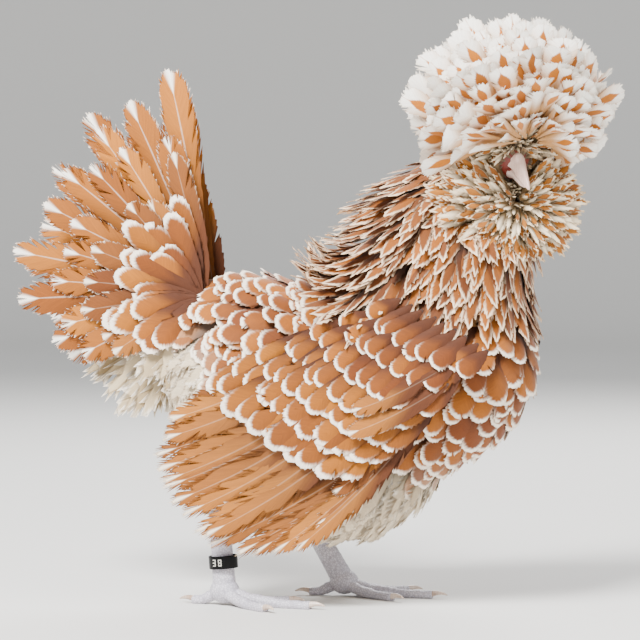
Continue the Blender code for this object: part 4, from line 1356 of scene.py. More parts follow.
def laid(
    level: Field,
    roots: Array,
    ways: Array,
    length: float,
    width: float,
    levels: Array,
    draw: np.random.Generator,
    pales: Array | float = 0.0,
    tilt: float = 0.18,
    stray: float = 0.16,
    lift: float = 5 * MM,
) -> Lay:
    """A coat of feathers on a field, each with its own size, lift and tint.

    Args:
        level: the field they lie on.
        roots: (n, 3).
        ways: (n, 3) the way they point.
        length: mean length.
        width: mean width.
        levels: levels from root to tip, (KNOTS,) or (n, KNOTS).
        draw: the random source.
        pales: how faded each is, from 0 to 1.
        tilt: how far one may lean about its quill.
        stray: how far one's direction may differ.
        lift: how far a tip may stand up.

    Returns:
        The lay.
    """
    count = len(roots)
    sizes = draw.uniform(0.88, 1.12, count)
    raised = draw.uniform(0.0, 1.0, count)[:, None] ** 2 * np.linspace(0, 1, KNOTS) ** 2 * lift
    turned = ways + draw.normal(0, stray, ways.shape)
    paths, normals = lay_on(level, roots, turned, length * sizes, levels + raised)
    across, normals = frames(paths, normals)
    return Lay(
        paths,
        across,
        normals,
        width / 2 * sizes * draw.uniform(0.92, 1.08, count),
        draw.uniform(0, 1, count),
        np.broadcast_to(pales, (count,)).astype(float),
        draw.uniform(-tilt, tilt, count),
    )


@dataclass
class BodyCoat:
    """The laced feathers of the breast, back, flanks and belly, and the fluff behind the wings."""

    maker: MeshMaker
    spacing: float = 7.6 * MM
    length: float = 35 * MM
    width: float = 16.5 * MM

    def build(self) -> list[bpy.types.Object]:
        """Scatters roots over the torso, then lays feathers that run back and down.

        Returns:
            The pieces.
        """
        draw = np.random.default_rng(21)
        ways = spiral(26000)
        centre = np.array([0, 0, 130]) * MM
        points = REAR_FIELD.reach(centre, ways, 0.0, 0.25)
        clear = (NECK(points) > -6 * MM) & (points[:, 2] > 34 * MM)
        mirror = points * (1, -1, 1)
        behind_wing = np.minimum(WING_ROOM(points), WING_ROOM(mirror)) < 8 * MM
        points = points[clear & ~behind_wing]
        rear = smooth(-points[:, 0], 30 * MM, 70 * MM) * smooth(-points[:, 2], -190 * MM, -150 * MM)
        low = smooth(-points[:, 2], -110 * MM, -70 * MM)
        fluffy = np.maximum(rear, low)
        index = scatter(points, self.spacing * (1 - 0.12 * fluffy), draw)
        roots, fluffy = points[index], fluffy[index]
        normal = REAR_FIELD.slope(roots)
        front = smooth(normal[:, 0], 0.1, 0.9)[:, None]
        ways = np.array([-1.0, 0, -0.28]) * (1 - front) + np.array([-0.15, 0, -1.0]) * front
        levels = np.linspace(-6.5, 0.5, KNOTS) * MM
        made = []
        plume = fluffy + draw.normal(0, 0.08, len(fluffy)) > 0.38
        for kind, form, chosen, finish in (
            ("laced", CONTOUR, ~plume, LACED.material()), ("fluff", PLUME, plume, DOWN.material())
        ):
            picked = np.flatnonzero(chosen)
            coat = laid(
                REAR_FIELD,
                roots[picked],
                ways[picked] + (np.array([0, 0, -0.5]) if kind == "fluff" else 0),
                self.length * (1.15 if kind == "fluff" else 1.0),
                self.width,
                levels,
                draw,
                pales=0.6 * fluffy[picked],
            )
            made += self.split(f"{kind}_feathers", form, coat, finish, "body_plumage", 40)
        return made

    def split(
        self, name: str, form: VaneForm, coat: Lay, finish: bpy.types.Material, slot: str, seed: int
    ) -> list[bpy.types.Object]:
        """Cuts a coat into pieces from front to back.

        Args:
            name: what the pieces' names start with.
            form: the feathers' outline.
            coat: where they lie.
            finish: the material.
            slot: passed on, not used.
            seed: of the first piece's notches.

        Returns:
            The pieces.
        """
        order = np.argsort(-coat.paths[:, 0, 0])
        groups = np.array_split(order, math.ceil(len(order) / PIECE_COUNT))
        return [
            self.maker.coat(f"{name}_{i + 1}", form, coat.take(group), finish, slot, seed + i)
            for i, group in enumerate(groups)
        ]


@dataclass
class NeckCoat:
    """The hackle: narrow laced feathers that run down from the back of the head over the shoulders."""

    maker: MeshMaker
    spacing: float = 5.0 * MM
    length: float = 40 * MM
    width: float = 10 * MM
    nape_lift: float = 21 * MM  # how far the tips stand up behind the head

    def build(self) -> list[bpy.types.Object]:
        """Scatters roots over the neck and lays feathers down along it, raised at the nape.

        Returns:
            The pieces.
        """
        draw = np.random.default_rng(22)
        ways = spiral(20000)
        centre = np.array([74, 0, 225]) * MM
        points = NECK.reach(centre, ways, 0.0)
        index = scatter(points, np.full(len(points), self.spacing), draw)
        roots = points[index]
        roots = roots[(TORSO(roots) > -12 * MM) & (roots[:, 2] > 196 * MM)]
        head = to_head(roots)
        roots = roots[~((head[:, 0] > 6 * MM) & (roots[:, 2] > 262 * MM))]
        axis = unit(np.array([-16.0, 3.0, -62.0]))
        nape = smooth(-BODY_FIELD.slope(roots)[:, 0], -0.2, 0.8)
        raised = nape[:, None] * np.linspace(0, 1, KNOTS) ** 1.6 * self.nape_lift
        levels = np.linspace(-6, 1.0, KNOTS)[None] * MM + raised
        outward = np.concatenate([BODY_FIELD.slope(roots)[:, :2], np.zeros((len(roots), 1))], 1)
        coat = laid(
            BODY_FIELD,
            roots,
            axis + 0.1 * outward,
            self.length,
            self.width,
            levels,
            draw,
            tilt=0.4,
            stray=0.24,
        )
        made = []
        groups = np.array_split(np.argsort(coat.paths[:, 0, 1]), math.ceil(len(roots) / PIECE_COUNT))
        finish = HACKLED.material()
        for i, group in enumerate(groups):
            made.append(
                self.maker.coat(f"hackle_{i + 1}", HACKLE, coat.take(group), finish, "hackle", 60 + i)
            )
        return made


@dataclass
class Ball:
    """A ball of feathers on the head that lie back from one pole, as the crest and the beard do."""

    maker: MeshMaker
    name: str  # what its pieces' names start with
    node: str  # the solid that it stands for
    centre: tuple[float, float, float]  # in the head's frame, in mm
    radii: tuple[float, float, float]  # in mm
    pole: tuple[float, float, float]  # the way to the beak
    root: float  # how far along the pole a feather starts
    count: int  # directions that are tried
    width: float  # of a feather
    finish: Plumage
    seed: int  # of its random draws
    above: bool  # whether it stands over the beak or under it
    open: float  # the cosine about the pole within which there is no feather
    form: VaneForm
    flat: float = 0.3  # how much the ball is flattened toward the pole
    plain: float = 0.3  # the share of feathers without a spindle

    def build(self) -> list[bpy.types.Object]:
        """Lays each feather outward from the pole's axis, and back from the pole as it goes.

        At a share t the distance from the axis is reach (1 - run (1 - t)), with a run of half the radius
        and at most 0.8 of the reach, and the height along the axis goes from the root's to the tip's with
        t^1.6. Toward the pole, where the beak is, the ball is flatter and its feathers are finer.
        Feathers that would pass through the beak's room or over an eye are left out.

        Returns:
            The pieces.
        """
        draw = np.random.default_rng(self.seed)
        ways = unit(spiral(self.count) + draw.normal(0, 0.05, (self.count, 3)))
        centre, radii = np.array(self.centre) * MM, np.array(self.radii) * MM
        pole = unit(np.array(self.pole))
        tips = from_head(centre + ways * radii)
        keep = tips[:, 2] > 270 * MM if self.above else tips[:, 2] < 294 * MM
        keep &= ways @ pole < self.open
        if not self.above:
            keep &= NECK(tips) > -4 * MM
        ways = ways[keep]
        facing = (ways @ pole)[:, None]
        outward = unit(ways - pole * facing)
        size = draw.uniform(0.8, 1.05, (len(ways), 1))
        t = np.linspace(0, 1, 7)[None]
        reach = np.linalg.norm(ways - pole * facing, axis=1, keepdims=True)
        high = facing * (1 - self.flat * smooth(facing, 0.2, 1.0))
        first = self.root + 0.5 * high
        run = np.minimum(0.8, 0.5 / reach)
        rho = size * reach * (1 - run * (1 - t))
        rise = size * (first + (high - first) * t**1.6)
        path = outward[:, None] * rho[..., None] + pole * rise[..., None]
        swing = draw.normal(0, 0.05, ways.shape)[:, None] * t[..., None] ** 2
        path = centre + (path + swing) * radii
        clear = self.clear(path)
        path, outward, facing, count = path[clear], outward[clear], facing[clear, 0], int(clear.sum())
        front = smooth(facing, 0.35, 0.95)
        tangent = unit(np.gradient(path, axis=1))
        side = np.cross(outward, pole)[:, None]
        normal = unit(np.cross(tangent, side))
        sign = np.sign((normal * (outward * 0.5 + pole)[:, None]).sum(-1).mean(1) + 1e-9)[:, None, None]
        normal = normal * sign + draw.normal(0, 0.2, (count, 1, 3))
        across, normal = frames(path, normal)
        coat = Lay(
            path,
            across,
            normal,
            self.width / 2 * draw.uniform(0.8, 1.15, count) * (1 - 0.4 * front),
            draw.uniform(0, 1, count),
            (draw.random(count) < self.plain + 0.3 * front).astype(float),
            draw.uniform(-0.3, 0.3, count),
        ).from_head()
        finish = self.finish.material()
        groups = np.array_split(np.argsort(coat.paths[:, -1, 1]), math.ceil(count / PIECE_COUNT))
        return [
            self.maker.coat(
                f"{self.name}_{i + 1}",
                self.form,
                coat.take(group),
                finish,
                "crest_feathers",
                self.seed * 3 + i,
                (self.node,),
            )
            for i, group in enumerate(groups)
        ]

    @staticmethod
    def clear(path: Array) -> Array:
        """Which paths keep out of the rooms of the beak and of the eyes.

        Args:
            path: of the head's frame, (n, k, 3).

        Returns:
            True for each that does.
        """
        before_eye = EYE_AT / MM + (2, 4, 0)
        rooms = [*BEAK_ROOMS, *((before_eye * (1, side, 1), EYE_ROOM) for side in (1, -1))]
        fine = np.ones(len(path), bool)
        for middle, radii in rooms:
            near = np.linalg.norm((path - np.array(middle) * MM) / (np.array(radii) * MM), axis=-1)
            fine &= near[:, 2:].min(1) > 1
        return fine


def head_balls(maker: MeshMaker) -> list[Ball]:
    """The crest, the brow under it, the chin and the beard with its muffs.

    Args:
        maker: puts them into Blender.

    Returns:
        The balls in the order in which they are built.
    """
    crest = Ball(
        maker,
        name="crest",
        node="crest",
        centre=(5, 0, 27),
        radii=(62, 64, 56),
        pole=(0.93, 0, -0.37),
        root=0.2,
        count=460,
        width=18 * MM,
        finish=CRESTED,
        seed=41,
        above=True,
        open=0.93,
        form=CREST,
        plain=0.15,
    )
    brow = replace(
        crest,
        name="brow",
        centre=(7, 0, 15),
        radii=(27, 34, 30),
        count=950,
        width=5.5 * MM,
        finish=BEARDED,
        seed=44,
        open=0.996,
        form=LANCE,
        flat=0.2,
        plain=0.6,
    )
    beard = Ball(
        maker,
        name="beard",
        node="beard",
        centre=(14, 0, -31),
        radii=(38, 52, 40),
        pole=(0.88, 0, 0.47),
        root=0.2,
        count=1500,
        width=7.5 * MM,
        finish=BEARDED,
        seed=42,
        above=False,
        open=0.996,
        form=LANCE,
    )
    chin = replace(
        beard,
        name="chin",
        centre=(12, 0, -19),
        radii=(25, 13, 7),
        pole=(1, 0, -0.1),
        count=260,
        width=5 * MM,
        seed=46,
        plain=0.7,
    )
    return [crest, brow, chin, beard]


@dataclass
class FaceCoat:
    """Short bristly feathers on the cheeks and brow, which leave bare the eyes and the mouth's corners."""

    maker: MeshMaker
    spacing: float = 1.8 * MM
    length: float = 10 * MM
    width: float = 2.8 * MM

    def build(self) -> bpy.types.Object:
        """Scatters roots over the skull and lays each feather back and a little down.

        Returns:
            The piece.
        """
        draw = np.random.default_rng(23)
        points = HEAD.reach(np.array([0, 0, 2]) * MM, spiral(12000))
        beak = np.linalg.norm((points / MM - (24, 0, -4)) / (15, 7.4, 7.5), axis=1) > 1
        gape = np.linalg.norm((points / MM - (13, 0, -7)) / (9, 20, 2.2), axis=1) > 1
        near = (np.abs(points) - EYE_AT)[:, [0, 2]] / MM / (6.9, 5.9)
        sight = (np.linalg.norm(near, axis=1) > 1) | (points[:, 0] < 0)
        points = points[beak & gape & sight & (points[:, 0] > -16 * MM)]
        roots = points[scatter(points, np.full(len(points), self.spacing), draw)]
        down = np.where(roots[:, 2] > 0, 0.3, -0.5)
        coat = laid(
            HEAD,
            roots,
            np.stack([-np.ones(len(roots)), 0.4 * np.sign(roots[:, 1]), down], -1),
            self.length,
            self.width,
            np.linspace(-0.5, 3.2, KNOTS) * MM,
            draw,
            pales=0.15,
            tilt=0.4,
            stray=0.25,
            lift=3 * MM,
        ).from_head()
        return self.maker.coat("face_bristles", LANCE, coat, BRISTLED.material(), "crest_feathers", 24)


def curve_through(points: Sequence[Sequence[float]], share: Array) -> Array:
    """Points on the parabola through three points, which it meets at shares of 0, 1/2 and 1.

    Args:
        points: the three.
        share: (n,) shares.

    Returns:
        (n, d) points.
    """
    first, middle, last = (np.array(point, float) for point in points)
    share = share[:, None]
    return (
        first * 2 * (share - 0.5) * (share - 1)
        + middle * 4 * share * (1 - share)
        + last * 2 * share * (share - 0.5)
    )


@dataclass(frozen=True)
class WingTier:
    """One tier of a wing's feathers, from the leading edge back."""

    count: int  # the number of feathers
    tips: tuple  # three points (x, z) in mm that the line of tips passes
    roots: tuple  # three that the line of roots passes
    width: float  # in mm
    height: float  # over the torso, in mm
    form: VaneForm
    finish: Plumage


WING_TIERS = (
    WingTier(9, ((10, 72), (-16, 37), (-68, 38)), ((68, 122), (74, 125), (80, 128)), 17, 1.2, FRAYED, FLIGHT),
    WingTier(
        12, ((-70, 42), (-101, 84), (-86, 122)), ((58, 131), (30, 148), (4, 163)), 20, 3.4, FRAYED, FLIGHT
    ),
    WingTier(
        14, ((18, 84), (-24, 100), (-68, 136)), ((70, 124), (30, 144), (-10, 166)), 17, 5.6, CONTOUR, WINGED
    ),
    WingTier(
        14, ((34, 94), (-6, 110), (-48, 144)), ((76, 128), (36, 147), (-4, 169)), 16, 7.0, CONTOUR, WINGED
    ),
    WingTier(
        13, ((46, 104), (8, 120), (-32, 152)), ((82, 132), (42, 152), (2, 173)), 15, 8.4, CONTOUR, WINGED
    ),
    WingTier(
        12, ((58, 114), (20, 130), (-16, 160)), ((88, 138), (48, 157), (10, 177)), 14, 9.6, CONTOUR, WINGED
    ),
    WingTier(
        11, ((69, 126), (34, 140), (0, 167)), ((94, 146), (58, 163), (22, 181)), 14, 10.6, CONTOUR, LACED
    ),
    WingTier(
        10, ((80, 138), (50, 151), (20, 173)), ((100, 154), (70, 169), (40, 184)), 13, 11.4, CONTOUR, LACED
    ),
    WingTier(
        9, ((92, 148), (64, 161), (38, 180)), ((112, 162), (86, 178), (58, 192)), 13, 12.0, CONTOUR, LACED
    ),
    WingTier(
        2, ((26, 112), (29, 118), (32, 124)), ((88, 142), (86, 146), (84, 150)), 13, 12.8, QUILL, FLIGHT
    ),
)


@dataclass
class Wing:
    """A folded wing: primaries, secondaries over them, rows of coverts and the quills of the alula."""

    maker: MeshMaker
    side: Side
    sheet: float = 50 * MM  # the least distance of its feathers from the middle plane

    def build(self) -> list[bpy.types.Object]:
        """Lays every tier on a sheet down the torso's side, which sags between root and tip as t (1 - t).

        Returns:
            The pieces, mirrored for the right wing.
        """
        name = self.side.name.lower()
        made = []
        for number, tier in enumerate(WING_TIERS):
            draw = np.random.default_rng(30 + number)
            share = (np.arange(tier.count) + draw.uniform(-0.12, 0.12, tier.count)) / (tier.count - 1)
            root = curve_through(tier.roots, share) * MM
            tip = (curve_through(tier.tips, share) + draw.normal(0, 1.8, (tier.count, 2))) * MM
            t = np.linspace(0, 1, KNOTS)[None, :, None]
            length = np.linalg.norm(tip - root, axis=1)
            flat = root[:, None] * (1 - t) + tip[:, None] * t
            flat = flat + np.array([0, -1.0]) * (length[:, None, None] * 0.16 * t * (1 - t))
            around = np.stack([flat[..., 0], 0 * flat[..., 0], flat[..., 1]], -1)
            out = TORSO.reach(around, np.broadcast_to([0.0, 1.0, 0.0], around.shape))[..., 1]
            sheet = np.maximum(out + 1.2 * MM, self.sheet)
            lift = tier.height * MM + 2.0 * MM * t[..., 0] * draw.uniform(0.3, 1.7, (tier.count, 1))
            path = np.stack([flat[..., 0], sheet + lift, flat[..., 1]], -1)
            outward = np.broadcast_to([0.0, 1.0, 0.0], path.shape)
            across, normal = frames(path, outward)
            coat = Lay(
                path,
                across,
                normal,
                tier.width / 2 * MM * draw.uniform(0.94, 1.06, tier.count),
                draw.uniform(0, 1, tier.count),
                np.zeros(tier.count),
                np.full(tier.count, 0.12) + draw.uniform(-0.08, 0.08, tier.count),
            )
            if self.side is Side.RIGHT:
                coat = coat.mirrored()
            made.append(
                self.maker.coat(
                    f"wing_{name}_tier_{number + 1}",
                    tier.form,
                    coat,
                    tier.finish.material(),
                    "flight_feathers",
                    70 + number,
                    (f"wing_{name}",),
                )
            )
        return made


@dataclass(frozen=True)
class TailTier:
    """One tier of each half of the tail."""

    count: int  # the number of feathers
    first: float  # the first one's turn up from straight ahead, in degrees
    last: float  # the last one's
    length: float  # in mm
    width: float  # in mm
    aside: float  # the first one's distance from the middle plane, in mm
    form: VaneForm
    finish: Plumage


TAIL_TIERS = (
    TailTier(9, 206, 246, 100, 26, 1.0, PLUME, DOWN),
    TailTier(8, 96, 196, 141, 24, 3.5, PADDLE, TAILED),
    TailTier(8, 103, 204, 112, 22, 8.0, PADDLE, TAILED),
    TailTier(8, 106, 214, 90, 20, 12.0, QUILL, FLIGHT),
    TailTier(9, 200, 248, 78, 24, 13.0, PLUME, DOWN),
    TailTier(9, 110, 220, 70, 17, 15.0, CONTOUR, WINGED),
    TailTier(9, 114, 226, 54, 16, 17.0, CONTOUR, LACED),
)


@dataclass
class Tail:
    """The fan of the tail: two halves that lean together as a tent, each with tiers of coverts."""

    maker: MeshMaker
    root: tuple[float, float, float] = (-84, 0, 190)  # in mm
    strong: float = 95  # a tier longer than this, in mm, is of strong feathers that stray little

    def build(self) -> list[bpy.types.Object]:
        """Lays each tier of each half on an upright sheet that opens a little to the tips.

        Returns:
            The pieces.
        """
        made = []
        t = np.linspace(0, 1, KNOTS)[None, :]
        for number, tier in enumerate(TAIL_TIERS):
            draw = np.random.default_rng(80 + number)
            count, strong = tier.count, tier.length > self.strong
            wander, shortest = (2.0, 0.9) if strong else (4.5, 0.74)
            lays = []
            for side in (1, -1):
                share = (np.arange(count) + 0.1 * (1 + side)) / (count - 0.8)
                angle = tier.first + (tier.last - tier.first) * share + draw.normal(0, wander, count)
                angle = np.radians(angle)
                way = np.stack([np.cos(angle), 0 * angle, np.sin(angle)], -1)
                turn = np.stack([-way[:, 2], 0 * angle, way[:, 0]], -1)
                taper = 1.02 - 0.07 * share - 0.15 * share**4
                reach = tier.length * MM * draw.uniform(shortest, 1.05, count) * taper
                path = np.array(self.root) * MM + way[:, None] * (reach[:, None] * t)[..., None]
                path = path + turn[:, None] * (0.05 * reach[:, None] * t**2)[..., None]
                spread = 9.0 * t * (0.4 + 0.6 * share[:, None])
                apart = tier.aside + 0.6 * np.arange(count)[:, None] + draw.uniform(0, 1.5, (count, 1))
                path[..., 1] = side * (apart + spread) * MM
                normal = np.broadcast_to([0.0, side, 0.0], path.shape)
                across, normal = frames(path, normal)
                lays.append(
                    Lay(
                        path,
                        across,
                        normal,
                        tier.width / 2 * MM * draw.uniform(0.93, 1.05, count),
                        draw.uniform(0, 1, count),
                        np.zeros(count),
                        np.full(count, 0.09 * side),
                    )
                )
            made.append(
                self.maker.coat(
                    f"tail_tier_{number + 1}",
                    tier.form,
                    Lay.together(lays),
                    tier.finish.material(),
                    "flight_feathers",
                    90 + number,
                    ("tail",),
                )
            )
        return made


@dataclass
class Face:
    """The beak, the eyes with their lids, and the bare folds at the corners of the mouth."""

    maker: MeshMaker
    root: float = 9 * MM  # where the beak begins
    length: float = 35 * MM  # of its upper half
    jaw: float = 29 * MM  # the lower half's length
    width: float = 11 * MM
    height: float = 9.5 * MM  # of the upper half
    depth: float = 6.6 * MM  # of the lower half
    hook: float = 4.5 * MM  # how far the tip turns down
    eye: float = 4.6 * MM  # the eye's radius

    def horn(self, upper: bool) -> tuple[Array, list]:
        """One half of the beak, swept along its length.

        At a share s of the length the half width is w (1 - s^1.5)^0.8, the mouth's line drops by
        hook s^2.5, and a section arches from it by sin(a)^1.05 of the height there, or sin(a)^0.8 below.
        The upper half has a rounded ridge and a pit for each nostril under a low cover.

        Args:
            upper: whether it is the upper half.

        Returns:
            Vertices and faces.
        """
        rows, columns = 60, 33
        s = 1 - (1 - np.linspace(0, 1, rows)) ** 1.4
        a = np.linspace(0, math.pi, columns)
        length = self.length if upper else self.jaw
        share = s * length / self.length
        arch = (3.2 if upper else 2.6) * MM * np.exp(-(((share - 0.42) / 0.22) ** 2))
        mouth = MOUTH_Z + arch - self.hook * share**2.5 - (0 if upper else 1.7 * MM)
        if upper:
            crown = mouth + (self.height - 0.9 * MM) * (1 - s**2.2) ** 0.7 + 0.9 * MM
        else:
            crown = mouth - (self.depth - 0.7 * MM) * (1 - s**2) ** 0.8 - 0.7 * MM
        half = (self.width - (0 if upper else MM)) / 2 * (1 - s**1.5) ** 0.8 + 0.5 * MM
        half = half * (1 + 0.3 * np.exp(-(((share - 0.25) / 0.16) ** 2)))
        x = self.root + length * s[:, None] + 0 * a
        y = half[:, None] * np.cos(a)
        z = mouth[:, None] + (crown - mouth)[:, None] * np.sin(a) ** (1.05 if upper else 0.8)
        if upper:
            side = np.abs(y) / half[:, None]
            pit = np.exp(-(((x - 20.5 * MM) / (2.4 * MM)) ** 2) - ((z - 1.0 * MM) / (1.0 * MM)) ** 2)
            cover = np.exp(-(((x - 19.5 * MM) / (3.6 * MM)) ** 2) - ((z - 2.6 * MM) / (1.3 * MM)) ** 2)
            y = y * (1 + (0.14 * cover - 0.3 * pit) * smooth(side, 0.2, 0.7))
        points = np.stack([x, y, z], -1).reshape(-1, 3)
        faces = [tuple(f) for f in grid_faces(rows, columns)]
        faces.append(tuple(range(columns))[::-1])
        faces.append(tuple(range(len(points) - columns, len(points))))
        return points, [face[::-1] for face in faces] if upper else faces

    def build(self) -> list[bpy.types.Object]:
        """Makes each piece in the head's frame and places it.

        Returns:
            The pieces.
        """
        horn = Horn("beak_horn", light="F5DED4", dark="DDB6A8").material()
        made = []
        for upper in (True, False):
            name = "beak_upper" if upper else "beak_lower"
            points, faces = self.horn(upper)
            made.append(self.maker.piece(f"{name}_horn", from_head(points), faces, horn, "beak", (name,)))
        glass = EyeSurface().material()
        skin = BareSkin("lid_skin").material()
        folds = []
        for side, label in ((1, "left"), (-1, "right")):
            flip = np.array([1.0, side, 1.0])
            points, faces = ball(np.zeros(3), np.full(3, self.eye), 32, 48)
            points = points @ np.array([[0, 1.0, 0], [1.0, 0, 0], [0, 0, 1.0]])
            faces = [face[::-1] for face in faces]
            gaze = np.arccos(np.clip(points[:, 1] / self.eye, -1, 1))
            if side < 0:
                faces = [face[::-1] for face in faces]
            points = from_head((EYE_AT + points) * flip)
            shape = self.maker.piece(f"eye_{label}_ball", points, faces, glass, "eye", (f"eye_{label}",))
            gazes = shape.data.attributes.new("gaze", "FLOAT", "POINT")
            gazes.data.foreach_set("value", gaze.astype(np.float32))
            made.append(shape)
            folds += [self.lid(side), self.gape(side), self.comb(side)]
        shape = self.maker.piece("face_folds", *self.placed(folds), skin, "face_skin")
        ones = np.ones(len(shape.data.vertices), np.float32)
        shape.data.attributes.new("bare", "FLOAT", "POINT").data.foreach_set("value", ones)
        made.append(shape)
        return made

    @staticmethod
    def placed(shapes: list) -> tuple[Array, list]:
        """Surfaces of the head's frame as one surface of the bird's."""
        points, faces = joined(*shapes)
        return from_head(points), faces

    def lid(self, side: int) -> tuple[Array, list]:
        """The ring of the lids: a closed tube round an ellipse that follows the eye's curve.

        Args:
            side: 1 on the left, -1 on the right.

        Returns:
            Vertices and faces.
        """
        turn = np.linspace(0, math.tau, 64, endpoint=False)[:, None]
        roll = np.linspace(0, math.tau, 14, endpoint=False)[None]
        reach = 1.15 * MM * np.cos(roll) * (1 + 0.12 * np.sin(9 * turn))
        x = EYE_AT[0] + (5.7 * MM + reach) * np.cos(turn)
        z = EYE_AT[2] + (4.7 * MM + reach) * np.sin(turn)
        y = side * (EYE_AT[1] + 2.9 * MM - 0.9 * MM * np.cos(turn) + 1.15 * MM * np.sin(roll))
        turned = 1 if side < 0 else -1
        faces = [tuple(face)[::turned] for face in grid_faces(64, 14, round_rows=True)]
        return np.stack([x, y, z], -1).reshape(-1, 3), faces

    def gape(self, side: int) -> tuple[Array, list]:
        """The fleshy fold from the beak's side back over the cheek, thickest at the mouth's corner.

        Args:
            side: 1 on the left, -1 on the right.

        Returns:
            Vertices and faces.
        """
        knots = np.array(
            [[24, 4.6, -4.4], [18, 6.4, -4.2], [12, 9.6, -6.8], [7, 12.8, -10.6], [2, 15.2, -14.6]]
        )
        t = np.linspace(0, 1, 40)
        path = spline(knots[None] * MM, t[None])[0] * (1, side, 1)
        radii = (0.4 + 1.0 * np.sin(math.pi * t**0.8)) * MM * (1 + 0.1 * np.sin(40 * t))
        return tube(path, radii[:, None], 14, np.array([0, 0, 1.0]))

    def comb(self, side: int) -> tuple[Array, list]:
        """One horn of the small forked comb at the crest's foot.

        Args:
            side: 1 on the left, -1 on the right.

        Returns:
            Vertices and faces.
        """
        knots = np.array([[20, 2.2, 3.2], [18.5, 3.0, 6.6], [16.0, 4.0, 9.4], [13, 4.6, 11]])
        t = np.linspace(0, 1, 24)
        path = spline(knots[None] * MM, t[None])[0] * (1, side, 1)
        radii = (1.7 - 1.3 * t**1.6) * MM * (1 + 0.08 * np.sin(30 * t))
        return tube(path, radii[:, None], 16, np.array([1.0, 0, 0]))


